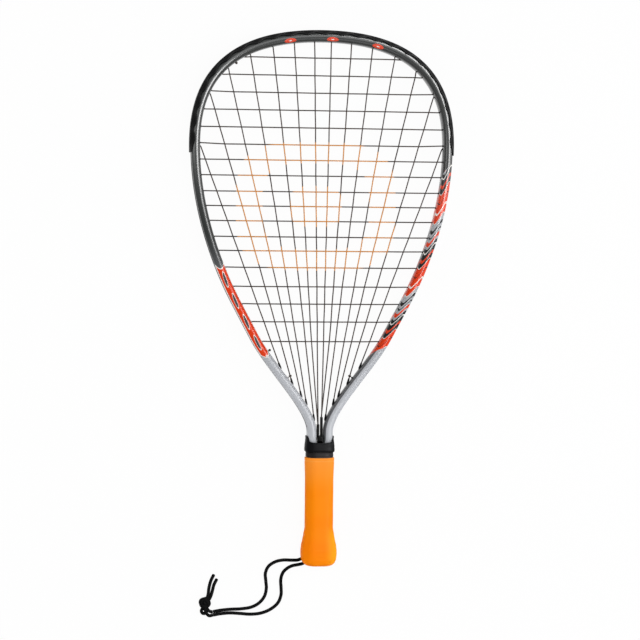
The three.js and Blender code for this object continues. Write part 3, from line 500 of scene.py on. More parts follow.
def tie_off_route(hand, tip):
    return [
        on_frame((TIE_OFF + foot_drop(0)) * hand, GROOVE_TURN, -ROW),
        on_frame(TIE_OFF * hand, INNER_WALL, -ROW),
        on_frame(TIE_OFF * hand, INNER_WALL - tip, -ROW),
    ]


def main_half(hand):
    back = (TIE_OFF + foot_drop(0)) * hand
    route = tie_off_route(hand, TIE_OFF_TIP)[::-1]
    route += groove_route(back, foot_groove(0) * hand, -ROW) + main_route(0, hand)[::-1]
    for i in range(1, len(MAIN_TOPS)):
        if i % 2:
            start, end = (HOLES["top", main] * hand for main in (i - 1, i))
            route += groove_route(start, end, -ROW) + main_route(i, hand)
        elif i > LEG_MAINS:
            route += guide_turn(hand) + main_route(i, hand)[::-1]
        else:
            start, end = (foot_groove(main) * hand for main in (i - 1, i))
            route += groove_route(start, end, -ROW) + main_route(i, hand)[::-1]
    return route


def main_path():
    innermost = HOLES["top", len(MAIN_TOPS) - 1]
    return main_half(-1) + groove_route(-innermost, innermost, -ROW) + main_half(1)[::-1]


def cross_route(line):
    y = CROSS_LINES[line]
    run = HOLES["cross", line]
    reach = on_wall(run)[0] - BARREL / 2

    def half(hand):
        return [
            np.array((main_x(i, y) * hand, y, REST - main_height(i, line, hand)))
            for i in range(len(MAIN_TOPS)) if main_meets(i, y) and main_x(i, y) < reach
        ]

    left, right = (straight_route(at, ROW, LIFTED_TIP) for at in (-run, run))
    return left + half(-1) + half(1)[::-1] + right[::-1]


LAST_LINE = len(CROSS_LINES) - 1
CROSS_TIES = [
    lerp(HOLES["cross", line], next_hole(HOLES["cross", line]), share)
    for line, share in zip((0, LAST_LINE), CROSS_TIE_SHARES)
]


def cross_tie_route(line, back):
    tip = BARREL_TIP + CLEARANCE + KNOT_LENGTH + KNOT_TAIL
    return groove_route(-HOLES["cross", line], -back, ROW) + straight_route(-back, ROW, tip)


def cross_path():
    path = cross_tie_route(0, CROSS_TIES[0])[::-1]
    for line in range(len(CROSS_LINES)):
        rightwards = line % 2 == 0
        path += cross_route(line) if rightwards else cross_route(line)[::-1]
        if line < LAST_LINE:
            hand = 1 if rightwards else -1
            start, end = (HOLES["cross", cross] * hand for cross in (line, line + 1))
            path += groove_route(start, end, ROW)
    return path + cross_tie_route(LAST_LINE, CROSS_TIES[1])


def barrel_routes(hand):
    """Every barrel of one side: the run at which a strip carries it, and its route"""
    routes = []
    for (kind, i), run in HOLES.items():
        if kind == "foot":
            routes.append((foot_groove(i), foot_route(i, hand)))
        else:
            routes.append((run, straight_route(run * hand, ROW if kind == "cross" else -ROW)))
    routes.append((TIE_OFF + foot_drop(0), tie_off_route(hand, TIE_BARREL_TIP)))
    if hand < 0:
        routes += [(run, straight_route(-run, ROW)) for run in CROSS_TIES]
    return routes


# Meshes

MOST_EASED = 0.45
SPLINE_STEPS = 40
STEEP = 0.7


def eased(points, reach, steps=4):
    """A chain of points with each corner rounded over a reach on both sides"""
    chain = [points[0]]
    for before, corner, after in zip(points, points[1:], points[2:]):
        back, ahead = before - corner, after - corner
        sizes = np.linalg.norm(back), np.linalg.norm(ahead)
        near = min(reach, MOST_EASED * sizes[0], MOST_EASED * sizes[1])
        start, end = corner + back / sizes[0] * near, corner + ahead / sizes[1] * near
        for k in range(steps + 1):
            t = k / steps
            chain.append((1 - t) ** 2 * start + 2 * t * (1 - t) * corner + t * t * end)
    chain.append(points[-1])
    return np.array(chain)


def spline(points, step):
    """Centripetal curve through points, resampled at an even step"""
    points = [np.array(point, float) for point in points]
    chain = [2 * points[0] - points[1], *points, 2 * points[-1] - points[-2]]
    curve = []
    for p0, p1, p2, p3 in zip(chain, chain[1:], chain[2:], chain[3:]):
        d0, d1, d2 = (
            math.sqrt(np.linalg.norm(b - a)) for a, b in ((p0, p1), (p1, p2), (p2, p3))
        )
        first = ((p1 - p0) / d0 - (p2 - p0) / (d0 + d1) + (p2 - p1) / d1) * d1
        last = ((p2 - p1) / d1 - (p3 - p1) / (d1 + d2) + (p3 - p2) / d2) * d1
        for t in np.linspace(0, 1, SPLINE_STEPS, endpoint=False):
            curve.append(
                (2 * t ** 3 - 3 * t ** 2 + 1) * p1 + (t ** 3 - 2 * t ** 2 + t) * first
                + (3 * t ** 2 - 2 * t ** 3) * p2 + (t ** 3 - t ** 2) * last
            )
    curve.append(points[-1])
    return resampled(np.array(curve), step)


def lengths_along(points):
    return np.concatenate(((0,), np.cumsum(np.linalg.norm(np.diff(points, axis=0), axis=1))))


def resampled(points, step):
    along = lengths_along(points)
    count = max(2, round(along[-1] / step) + 1)
    even = np.linspace(0, along[-1], count)
    return np.stack([np.interp(even, along, points[:, k]) for k in range(3)], axis=1)


def section_frames(points, looped=False):
    """Two directions square to the path at each point, carried along without twist"""
    if looped:
        runs = np.roll(points, -1, axis=0) - np.roll(points, 1, axis=0)
    else:
        runs = np.gradient(points, axis=0)
    runs /= np.linalg.norm(runs, axis=1)[:, None]
    guess = np.array((0, 0, 1.0)) if abs(runs[0][2]) < STEEP else np.array((1.0, 0, 0))
    sides = []
    side = unit(np.cross(guess, runs[0]))
    for run in runs:
        side = unit(side - run * side.dot(run))
        sides.append(side)
    sides = np.array(sides)
    return sides, np.cross(runs, sides)


def rings_round(points, radii, sides, looped=False):
    """Rings about a path: radii is a number, one per point, or one per point and side"""
    across, up = section_frames(points, looped)
    turns = np.arange(sides) / sides * 2 * math.pi
    radii = np.asarray(radii, float)
    if radii.ndim < 2:
        radii = np.broadcast_to(radii.reshape(-1, 1), (len(points), sides))
    spread = (
        across[:, None] * np.cos(turns)[None, :, None] + up[:, None] * np.sin(turns)[None, :, None]
    )
    return points[:, None] + spread * radii[:, :, None]


class Skin:
    """Closed skins over rings of points, gathered into one mesh with a map in metres"""

    def __init__(self):
        self.points = []
        self.faces = []
        self.places = []

    def add(self, rings, along=None, around=None, looped=False):
        rings = np.asarray(rings, float)
        count, sides = rings.shape[:2]
        first = sum(len(points) for points in self.points)
        self.points.append(rings.reshape(-1, 3))
        if along is None:
            along = lengths_along(rings.mean(axis=1))
        if around is None:
            girth = np.linalg.norm(rings[0] - np.roll(rings[0], -1, axis=0), axis=1)
            around = np.concatenate(((0,), np.cumsum(girth)))
        along = np.append(along, along[-1]) if looped else along
        bands = count if looped else count - 1
        for r in range(bands):
            a, b = first + r * sides, first + ((r + 1) % count) * sides
            for i in range(sides):
                j = (i + 1) % sides
                self.faces.append((a + i, a + j, b + j, b + i))
                self.places += [
                    (along[r], around[i]), (along[r], around[i + 1]),
                    (along[r + 1], around[i + 1]), (along[r + 1], around[i]),
                ]
        if not looped:
            for ring, place in ((range(sides - 1, -1, -1), along[0]), (range(sides), along[-1])):
                start = first if place == along[0] else first + (count - 1) * sides
                self.faces.append(tuple(start + i for i in ring))
                self.places += [(place, around[i]) for i in ring]
        return self

    def build(self, name, finish, slot, replaces, sharp=40):
        mesh = bpy.data.meshes.new(name)
        mesh.from_pydata((np.concatenate(self.points) * MM).tolist(), [], self.faces)
        layer = mesh.uv_layers.new(name="Surface")
        layer.data.foreach_set("uv", (np.array(self.places) * MM).ravel())
        mesh.validate()
        turn_outwards(mesh)
        mesh.shade_smooth()
        mesh.set_sharp_from_angle(angle=math.radians(sharp))
        mesh.materials.append(finish)
        piece = bpy.data.objects.new(name, mesh)
        bpy.context.scene.collection.objects.link(piece)
        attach(piece, BODY)
        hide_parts(*replaces)
        return piece


def turn_outwards(mesh):
    work = bmesh.new()
    work.from_mesh(mesh)
    bmesh.ops.recalc_face_normals(work, faces=work.faces)
    work.to_mesh(mesh)
    work.free()


def eased_section(half, steps=5):
    """A closed section from its half: out, up and how much of each side a corner rounds"""
    corners = list(half) + [(out, -up, ease) for out, up, ease in reversed(half)]
    section = []
    for i, (x, y, ease) in enumerate(corners):
        corner = np.array((x, y))
        before, after = (np.array(corners[(i + k) % len(corners)][:2]) for k in (-1, 1))
        if ease == 0:
            section.append(corner)
            continue
        start, end = lerp(corner, before, ease), lerp(corner, after, ease)
        for t in np.linspace(0, 1, steps + 1):
            section.append((1 - t) ** 2 * start + 2 * t * (1 - t) * corner + t * t * end)
    return np.array(section)


def octagon_ring(width, depth, y):
    flat_x, flat_z = OCTAGON_FLATS
    corners_of_half = ((1, flat_z), (flat_x, 1), (-flat_x, 1), (-1, flat_z))
    section = eased_section([(*corner, OCTAGON_EASE) for corner in corners_of_half], steps=6)
    x, z = section[:, 0] * width / 2, section[:, 1] * depth / 2
    return np.stack((x, np.full_like(x, y), REST + z), axis=1)


def bell(value, middle, reach):
    """1 at a middle, falling away on both sides of it"""
    return math.exp(-(((value - middle) / reach) ** 2))


# Finishes, with lengths in metres. A ramp is where it starts and ends, then its value at both

FINE_EDGE = 1e-4
FLANK_EDGE = 2e-4
# Black of the printed shapes, also used for the painted shade on the frame's inner wall and right
# shoulder
PRINT_AND_SHADE_BLACK = (0.012, 0.012, 0.013, 1)
LEAF_GREY = (0.06, 0.06, 0.068, 1)
BAND_SILVER = (0.42, 0.43, 0.45, 1)
# Painted shade in the valleys between the cord's strands
BRAID_VALLEY_SHADE = (0.002, 0.002, 0.002, 1)
CLOUD_RAMP = (0.3, 0.7)
NOISE_ROUGHNESS = 0.55
FRAME_GRAIN = {"Scale": 2500.0, "Low": 0.24, "High": 0.34}
STRING_GRAIN = {"Scale": 3000.0, "Low": 0.35, "High": 0.5}
GRIP_GRAIN = {"Scale": 1400.0, "Low": 0.5, "High": 0.66}
CORD_GRAIN = {"Scale": 5000.0, "Low": 0.75, "High": 0.95}

# Frame paint: its fade to the head, painted shade on the inner wall and on the right shoulder, and
# its coat

HEAD_FADE = (-0.1, 0.075)
SECTION_HANDS = (-0.003, 0.003, -1.0, 1.0)
# Painted shade: the inner wall is darkened towards black
INNER_WALL_PAINTED_SHADE = (-0.0047, -0.0043, 0.75, 0.0)
# Painted shade on the right shoulder only, by place on the section and stronger low down
RIGHT_SHOULDER_PAINTED_SHADE = (-0.0031, -0.0027, 1.0, 0.0)
RIGHT_SHOULDER_PAINTED_SHADE_UP = (-0.05, 0.02, 0.75, 0.2)
COAT_UP = (0.0, 0.19, 0.05, 0.7)

# Ovals on the crown: their runs, place on the section, half sizes, edge and pale spot

OVAL_RUNS = (-0.036, 0.009, 0.058)
OVAL_OUT = -0.0043
OVAL_HALF = (0.0062, 0.0034)
OVAL_EDGE = (0.98, 1.04)
OVAL_SPOT = (0.04, 0.08)

# Orange band with leaves on the left flank

LEAF_BAND_REACH = (31, -61)
LEAF_BAND_HALF_WIDTH = 0.0103
LEAF_BAND_BEND = 260.0
LEAF_BAND_RIM = 0.0012
LEAF_BAND_CORE = 0.0041
LEAF_PITCH = 0.0245
LEAF_OUT = 0.0006
LEAF_HALF_SHARE = 0.3
LEAF_HALF_WIDTH = 0.0012
LEAF_DRIFT = 0.45
LEAF_SOFTNESS = 0.12
LEAF_RIM = 1.45

# Slanted bands on the right flank: tint, middle and half width as shares of one repeat

SLANTED_REACH = (138, -52)
SLANTED_PITCH = 0.082
SLANT = 0.9
CURL_WAVES = 400.0
CURL_REACH = 0.0034
SLANTED_EDGE_SHARE = 0.003
SLANTED_SHARES = (
    ("silver", 0.5, 0.5), ("dark", 0.13, 0.13), ("pale", 0.06, 0.008), ("orange", 0.17, 0.02),
    ("pale", 0.46, 0.197), ("orange", 0.46, 0.188), ("pale", 0.53, 0.012), ("dark", 0.39, 0.006),
    ("dark", 0.77, 0.022), ("dark", 0.85, 0.01), ("orange", 0.935, 0.026),
)

# Stencil on the strings, whose radii are shares of its half size

STENCIL_CENTRE = (-0.006, 0.096)
STENCIL_POWER = 3.5
RING_INNER_SHARES = (0.66, 0.68)
RING_OUTER_SHARES = (0.99, 1.01)
DISC_SHARES = (0.31, 0.33)
STENCIL_WEAR_SCALE = 700.0
STENCIL_WEAR = (0.3, 0.5, 0.82, 1.0)
STRING_DEEP = (0.15, 0.12, 0.105)
STRING_SHADE_SCALE = 200.0

# Grip rubber: soft bands and clouds, deeper low down, painted shade on the left, paler towards its
# top, and a painted highlight right of its flare

GRIP_BANDS = 210.0
GRIP_BAND_SHARE = 0.12
GRIP_CLOUD_SCALE = 40.0
GRIP_CLOUD = (0.3, 0.8, 0.0, 0.3)
# Painted shade on the left of the grip
GRIP_LEFT_PAINTED_SHADE = (-0.017, 0.0, 0.25, 0.0)
GRIP_LOW = (-0.27, -0.19, 0.3, 0.0)
GRIP_PALE_UP = (-0.205, -0.165, 0.0, 0.4)
# Painted highlight right of the flare: its ramp across, and its middle, half height and edge along
# the grip
GRIP_HIGHLIGHT_RIGHT = (0.003, 0.016, 0.0, 0.75)
GRIP_HIGHLIGHT_MIDDLE = -0.26
GRIP_HIGHLIGHT_HALF = 0.01
GRIP_HIGHLIGHT_EDGE = 0.014
GRIP_LINE_HALF = 0.0003
GRIP_LINE_SHARE = 0.6

# Cord: painted shade in the valleys between the braid's strands

PAINTED_BRAID_SHADE = (0.6, 1.0)
FUZZ_SHARE = 0.4


# Materials


def linear(value):
    """The linear form of a colour that is written as a screen shows it"""
    return [channel / 12.92 if channel <= 0.04045 else ((channel + 0.055) / 1.055) ** 2.4
            for channel in value]


def colour(value):
    return (*linear(value), 1.0)


class Graph:
    """Short ways to add and join the nodes of one tree"""

    def __init__(self, tree):
        self.tree = tree

    def node(self, kind, values=(), **settings):
        made = self.tree.nodes.new(kind)
        for name, setting in settings.items():
            setattr(made, name, setting)
        for name, value in dict(values).items():
            self.put(made.inputs[name], value)
        return made

    def put(self, socket, value):
        if isinstance(value, bpy.types.NodeSocket):
            self.tree.links.new(value, socket)
        else:
            socket.default_value = value

    def math(self, operation, *values, clamp=False):
        made = self.node(
            "ShaderNodeMath", dict(enumerate(values)), operation=operation, use_clamp=clamp,
        )
        return made.outputs[0]

    def plus(self, first, second, clamp=False):
        return self.math("ADD", first, second, clamp=clamp)

    def minus(self, first, second):
        return self.math("SUBTRACT", first, second)

    def times(self, first, second):
        return self.math("MULTIPLY", first, second)

    def over(self, first, second):
        return self.math("DIVIDE", first, second)

    def size(self, value):
        return self.math("ABSOLUTE", value)

    def mix(self, factor, first, second):
        """A mix of two colours, whose sockets go by number because their names repeat"""
        made = self.node("ShaderNodeMix", {0: factor}, data_type="RGBA")
        self.put(made.inputs[6], first)
        self.put(made.inputs[7], second)
        return made.outputs[2]

    def ramp(self, value, low, high, start=0.0, end=1.0):
        made = self.node(
            "ShaderNodeMapRange",
            {"Value": value, "From Min": low, "From Max": high, "To Min": start, "To Max": end},
            interpolation_type="SMOOTHSTEP",
        )
        return made.outputs["Result"]

    def fall(self, value, low, high):
        return self.ramp(value, low, high, 1.0, 0.0)

    def inside(self, value, centre, half, soft):
        """1 within half of a centre, fading to 0 over a soft edge"""
        return self.fall(self.size(self.minus(value, centre)), half, half + soft)

    def noise(self, vector, scale, detail):
        made = self.node("ShaderNodeTexNoise", {
            "Vector": vector, "Scale": scale, "Detail": detail, "Roughness": NOISE_ROUGHNESS,
        })
        return made.outputs["Fac"]

    def place(self):
        return self.node("ShaderNodeTexCoord").outputs["Object"]

    def split(self, vector):
        return self.node("ShaderNodeSeparateXYZ", {0: vector}).outputs

    def surface(self):
        return self.split(self.node("ShaderNodeUVMap", uv_map="Surface").outputs["UV"])

    def bump(self, height, strength, distance):
        made = self.node("ShaderNodeBump", {
            "Height": height, "Strength": strength, "Distance": distance,
        })
        return made.outputs["Normal"]

    def use(self, group, **values):
        made = self.node("ShaderNodeGroup", values, node_tree=group)
        return made.outputs


def fresh_graph(owner):
    """The emptied node tree of a material or a world"""
    owner.use_nodes = True
    owner.node_tree.nodes.clear()
    return Graph(owner.node_tree)


def effect(name, inputs, outputs, build):
    """A node group with named sockets, built once"""
    if name in bpy.data.node_groups:
        return bpy.data.node_groups[name]
    tree = bpy.data.node_groups.new(name, "ShaderNodeTree")
    for way, sockets in (("INPUT", inputs), ("OUTPUT", outputs)):
        for socket, kind in sockets.items():
            tree.interface.new_socket(name=socket, in_out=way, socket_type=kind)
    graph = Graph(tree)
    results = build(graph, graph.node("NodeGroupInput").outputs)
    graph.node("NodeGroupOutput", results)
    return tree


FLOAT, COLOUR = "NodeSocketFloat", "NodeSocketColor"


def grain_effect():
    """Fine moulded grain: a height for the bump and a roughness that wanders with it"""
    cloud_scale_share = 0.06
    fine_share = 0.4

    def build(graph, entry):
        place = graph.place()
        fine = graph.noise(place, entry["Scale"], detail=4.0)
        cloud = graph.noise(place, graph.times(entry["Scale"], cloud_scale_share), detail=2.0)
        both = graph.plus(graph.times(fine, fine_share), graph.times(cloud, 1 - fine_share))
        rough = graph.ramp(both, *CLOUD_RAMP, entry["Low"], entry["High"])
        return {"Height": fine, "Roughness": rough}

    return effect(
        "Moulded grain", {"Scale": FLOAT, "Low": FLOAT, "High": FLOAT},
        {"Height": FLOAT, "Roughness": FLOAT}, build,
    )


def shade_effect():
    """A colour that wanders a little between two depths, as dye and paint do"""

    def build(graph, entry):
        cloud = graph.noise(graph.place(), entry["Scale"], detail=3.0)
        share = graph.ramp(cloud, *CLOUD_RAMP)
        return {"Color": graph.mix(share, entry["Color"], entry["Deep"])}

    return effect(
        "Wandering shade", {"Color": COLOUR, "Deep": COLOUR, "Scale": FLOAT},
        {"Color": COLOUR}, build,
    )


def braid_effect():
    """Diamond braid of a round cord, from its length and girth: its height, and a factor for the
    painted shade in its valleys
    """

    def build(graph, entry):
        along, around, _ = graph.surface()
        per_turn = graph.over(2 * math.pi, entry["Pitch"])
        turn, lead = graph.times(around, per_turn), graph.times(along, per_turn)
        one, other = (
            graph.size(graph.math("SINE", wound))
            for wound in (graph.plus(turn, lead), graph.minus(turn, lead))
        )
        height = graph.math("MAXIMUM", one, other)
        return {"Height": height, "Shade": graph.ramp(height, *PAINTED_BRAID_SHADE)}

    return effect("Diamond braid", {"Pitch": FLOAT}, {"Height": FLOAT, "Shade": FLOAT}, build)


def new_material(name, build):
    """A material on one Principled BSDF, whose graph is built by a function that returns inputs"""
    made = bpy.data.materials.new(name)
    graph = fresh_graph(made)
    shader = graph.node("ShaderNodeBsdfPrincipled", build(graph))
    graph.node("ShaderNodeOutputMaterial", {"Surface": shader.outputs[0]})
    return made


def plain_material(name, base, deep, rough, scale=900.0, bump=0.1, **constants):
    """Moulded or cast stuff: a wandering colour and roughness with a fine grain"""
    shade_scale_share = 0.05
    grain_depth = 0.0002

    def build(graph):
        grain = graph.use(grain_effect(), Scale=scale, Low=rough[0], High=rough[1])
        shade = graph.use(
            shade_effect(), Color=colour(base), Deep=colour(deep), Scale=scale * shade_scale_share,
        )
        return {
            "Base Color": shade["Color"],
            "Roughness": grain["Roughness"],
            "Normal": graph.bump(grain["Height"], bump, grain_depth),
            **{name.replace("_", " "): value for name, value in constants.items()},
        }

    return new_material(name, build)


def frame_material(look):
    """Silver paint that darkens towards the head, with plain painted shapes on its flanks and
    painted shade on its inner wall and right shoulder
    """
    inks_and_shade = {
        "orange": colour(look.paint_orange), "pale": colour(look.paint_pale),
        "dark": PRINT_AND_SHADE_BLACK, "grey": LEAF_GREY, "silver": BAND_SILVER,
    }

    def build(graph):
        run, out, _ = graph.surface()
        _, height, level = graph.split(graph.place())
        off_middle = graph.size(graph.minus(level, REST * MM))
        drop = graph.math("MAXIMUM", graph.minus(FRAME_DEPTH / 2 * MM, off_middle), 0.0)
        hand = graph.ramp(out, *SECTION_HANDS)
        spread = graph.plus(out, graph.times(hand, drop))
        grain = graph.use(grain_effect(), **FRAME_GRAIN)
        fade = graph.ramp(height, *HEAD_FADE)
        paint = graph.mix(fade, colour(look.silver), colour(look.gunmetal))
        size = graph.size(run)
        left = graph.math("LESS_THAN", run, 0.0)
        right = graph.minus(1.0, left)
        # Painted shade on the inner wall
        paint = graph.mix(graph.ramp(out, *INNER_WALL_PAINTED_SHADE), paint, inks_and_shade["dark"])
        # Painted shade on the right flank's inner shoulder, fading towards the head
        slope = graph.times(right, graph.ramp(out, *RIGHT_SHOULDER_PAINTED_SHADE))
        slope = graph.times(slope, graph.ramp(height, *RIGHT_SHOULDER_PAINTED_SHADE_UP))
        paint = graph.mix(slope, paint, inks_and_shade["dark"])
        on_top = graph.inside(spread, 0.0, LEAF_BAND_HALF_WIDTH, FINE_EDGE)
        paint = leaf_band(graph, paint, size, out, graph.times(left, on_top), inks_and_shade)
        paint = slanted_bands(graph, paint, size, spread, right, inks_and_shade)
        for centre in OVAL_RUNS:
            paint = crown_oval(graph, paint, run, spread, centre, inks_and_shade)
        return {
            "Base Color": paint,
            "Metallic": 0.0,
            "Roughness": grain["Roughness"],
            "Normal": graph.bump(grain["Height"], 0.04, 0.0001),
            "Specular IOR Level": 0.08,
            "Coat Weight": graph.ramp(height, *COAT_UP),
            "Coat Roughness": 0.22,
        }

    return new_material("Frame paint", build)


def band_ends(reach):
    """Start, middle and half length along the run of a band between two heights"""
    start, end = (run_at(y) * MM for y in reach)
    return start, (start + end) / 2, (end - start) / 2


def summed_squares(graph, first, second):
    return graph.plus(graph.times(first, first), graph.times(second, second))


def leaves(graph, size, out, first):
    """A row of leaf-shaped spots along the run, and the same leaves with their rims"""
    turn = graph.math("FRACT", graph.over(graph.minus(size, first), LEAF_PITCH))
    along = graph.over(graph.minus(turn, 0.5), LEAF_HALF_SHARE)
    drift = graph.times(along, LEAF_DRIFT)
    across = graph.minus(graph.over(graph.minus(out, LEAF_OUT), LEAF_HALF_WIDTH), drift)
    far = summed_squares(graph, along, across)
    return [graph.fall(far, edge, edge + LEAF_SOFTNESS) for edge in (1.0, LEAF_RIM)]


def leaf_band(graph, paint, size, out, side, inks_and_shade):
    """An orange band over the left flank with a pale rim and a row of slim grey leaves"""
    start, middle, half = band_ends(LEAF_BAND_REACH)
    bend = graph.times(graph.times(out, out), LEAF_BAND_BEND)
    place = graph.plus(size, bend)
    body, core = (
        graph.times(side, graph.inside(place, middle, half - rim, FLANK_EDGE))
        for rim in (0, LEAF_BAND_RIM)
    )
    inner = graph.inside(out, 0.0, LEAF_BAND_CORE, FINE_EDGE)
    spot, rim = leaves(graph, size, out, start)
    paint = graph.mix(body, paint, inks_and_shade["pale"])
    paint = graph.mix(graph.times(core, inner), paint, inks_and_shade["orange"])
    paint = graph.mix(graph.times(core, rim), paint, inks_and_shade["pale"])
    return graph.mix(graph.times(core, spot), paint, inks_and_shade["grey"])


def slanted_bands(graph, paint, size, out, side, inks_and_shade):
    """Broad slanted bands of orange, pale and black on the right flank"""
    start, middle, half = band_ends(SLANTED_REACH)
    slant = graph.plus(size, graph.times(out, SLANT))
    curl = graph.times(graph.math("SINE", graph.times(out, CURL_WAVES)), CURL_REACH)
    flow = graph.plus(slant, curl)
    window = graph.times(side, graph.inside(slant, middle, half, FLANK_EDGE))
    turn = graph.math("FRACT", graph.over(graph.minus(flow, start), SLANTED_PITCH))
    for tint, centre, width in SLANTED_SHARES:
        band = graph.inside(turn, centre, width, SLANTED_EDGE_SHARE)
        paint = graph.mix(graph.times(window, band), paint, inks_and_shade[tint])
    return paint


def crown_oval(graph, paint, run, out, centre, inks_and_shade):
    """A small oval with a pale spot on the crown's inner shoulder"""
    across = graph.over(graph.minus(run, centre), OVAL_HALF[0])
    up = graph.over(graph.minus(out, OVAL_OUT), OVAL_HALF[1])
    far = summed_squares(graph, across, up)
    paint = graph.mix(graph.fall(far, *OVAL_EDGE), paint, inks_and_shade["orange"])
    return graph.mix(graph.fall(far, *OVAL_SPOT), paint, inks_and_shade["pale"])


def stencil(graph, place, sizes):
    """Where the ring and the disc on the strings have taken, a little worn"""
    powers = []
    wholes = (sizes.stencil_width, sizes.stencil_height)
    for at, centre, whole in zip(graph.split(place), STENCIL_CENTRE, wholes):
        apart = graph.size(graph.over(graph.minus(at, centre), whole / 2))
        powers.append(graph.math("POWER", apart, STENCIL_POWER))
    far = graph.math("POWER", graph.plus(*powers), 1 / STENCIL_POWER)
    ring = graph.times(graph.ramp(far, *RING_INNER_SHARES), graph.fall(far, *RING_OUTER_SHARES))
    ink = graph.math("MAXIMUM", ring, graph.fall(far, *DISC_SHARES))
    worn = graph.ramp(graph.noise(place, STENCIL_WEAR_SCALE, detail=2.0), *STENCIL_WEAR)
    return graph.times(ink, worn)


def string_material(look, sizes):
    """Dark string with a stencilled ring and disc of plain orange on the string bed"""

    def build(graph):
        grain = graph.use(grain_effect(), **STRING_GRAIN)
        shade = graph.use(
            shade_effect(), Color=colour(look.string_dark), Deep=colour(STRING_DEEP),
            Scale=STRING_SHADE_SCALE,
        )
        ink = stencil(graph, graph.place(), sizes)
        return {
            "Base Color": graph.mix(ink, shade["Color"], colour(look.stencil)),
            "Roughness": grain["Roughness"],
            "Normal": graph.bump(grain["Height"], 0.1, 0.0001),
            "Specular IOR Level": 0.12,
        }

    return new_material("Nylon string", build)


def grip_material(look):
    """Orange rubber: deeper low down, painted shade on the left, paler at its top, and a painted
    highlight right of its flare
    """

    def build(graph):
        place = graph.place()
        x, y, _ = graph.split(place)
        grain = graph.use(grain_effect(), **GRIP_GRAIN)
        bands = graph.math("SINE", graph.times(y, GRIP_BANDS))
        cloud = graph.noise(place, GRIP_CLOUD_SCALE, detail=3.0)
        share = graph.plus(graph.times(bands, GRIP_BAND_SHARE), cloud)
        # Painted shade on the left side of the grip, with a deeper tone low down
        low_and_left_shade = graph.plus(graph.ramp(x, *GRIP_LEFT_PAINTED_SHADE), graph.ramp(y, *GRIP_LOW))
        deep = graph.plus(low_and_left_shade, graph.ramp(share, *GRIP_CLOUD), clamp=True)
        pale = colour(look.grip_pale)
        paint = graph.mix(deep, colour(look.grip_light), colour(look.grip_deep))
        paint = graph.mix(graph.ramp(y, *GRIP_PALE_UP), paint, pale)
        # Painted highlight right of the flare, mixed towards a paler yellow
        flare = graph.inside(y, GRIP_HIGHLIGHT_MIDDLE, GRIP_HIGHLIGHT_HALF, GRIP_HIGHLIGHT_EDGE)
        painted_highlight = graph.times(graph.ramp(x, *GRIP_HIGHLIGHT_RIGHT), flare)
        paint = graph.mix(painted_highlight, paint, colour(look.grip_highlight))
        line_y = (GRIP_TOP - GRIP_LINE_DROP) * MM
        line = graph.inside(y, line_y, GRIP_LINE_HALF, GRIP_LINE_HALF)
        return {
            "Base Color": graph.mix(graph.times(line, GRIP_LINE_SHARE), paint, pale),
            "Roughness": grain["Roughness"],
            "Normal": graph.bump(grain["Height"], 0.16, 0.00015),
            "Specular IOR Level": 0.03,
        }

    return new_material("Orange rubber", build)


def cord_material(look, sizes):
    """Black braid with painted shade between its strands, and a little fuzz"""

    def build(graph):
        braid = graph.use(braid_effect(), Pitch=sizes.braid_pitch * MM)
        fuzz = graph.use(grain_effect(), **CORD_GRAIN)
        height = graph.plus(braid["Height"], graph.times(fuzz["Height"], FUZZ_SHARE))
        return {
            # Painted shade: the braid's valleys darkened towards a deeper black
            "Base Color": graph.mix(braid["Shade"], BRAID_VALLEY_SHADE, colour(look.cord_black)),
            "Roughness": fuzz["Roughness"],
            "Normal": graph.bump(height, 0.6, 0.0002),
            "Specular IOR Level": 0.04,
        }

    return new_material("Braided cord", build)


def plain_finishes(look):
    """Two colours, the roughness between two values and the shader's constants of each finish"""
    return {
        "Guard nylon": dict(
            base=look.guard_black, deep=(0.015, 0.015, 0.018), rough=(0.28, 0.4), bump=0.12,
            Specular_IOR_Level=0.04),
        "Collar rubber": dict(
            base=look.collar_black, deep=(0.02, 0.02, 0.03), rough=(0.42, 0.58), bump=0.25,
            Specular_IOR_Level=0.04),
        "Band rubber": dict(
            base=look.band_grey, deep=(0.1, 0.09, 0.09), rough=(0.5, 0.65), bump=0.2,
            Specular_IOR_Level=0.06),
        "Pallet foam": dict(
            base=(0.62, 0.61, 0.58), deep=(0.5, 0.49, 0.45), rough=(0.6, 0.8), scale=600.0,
            bump=0.3),
        "Cap moulding": dict(base=(0.11, 0.11, 0.12), deep=(0.06, 0.06, 0.07), rough=(0.4, 0.55)),
        "Staple wire": dict(
            base=(0.72, 0.73, 0.74), deep=(0.55, 0.56, 0.57), rough=(0.2, 0.35), scale=2000.0,
            bump=0.05, Metallic=1.0),
    }


def material(name):
    """The finish of that name, made the first time it is asked for"""
    look, sizes = bpy.context.scene.racket_colours, bpy.context.scene.racket_sizes
    if name in bpy.data.materials:
        return bpy.data.materials[name]
    if name in plain_finishes(look):
        return plain_material(name, **plain_finishes(look)[name])
    makers = {
        "Frame paint": lambda: frame_material(look),
        "Nylon string": lambda: string_material(look, sizes),
        "Orange rubber": lambda: grip_material(look),
        "Braided cord": lambda: cord_material(look, sizes),
    }
    return makers[name]()


# Sizes and colours that a user may change


def measure(name, description, default, low, high, **settings):
    return FloatProperty(
        name=name, description=description, default=default, min=low, max=high, **settings)


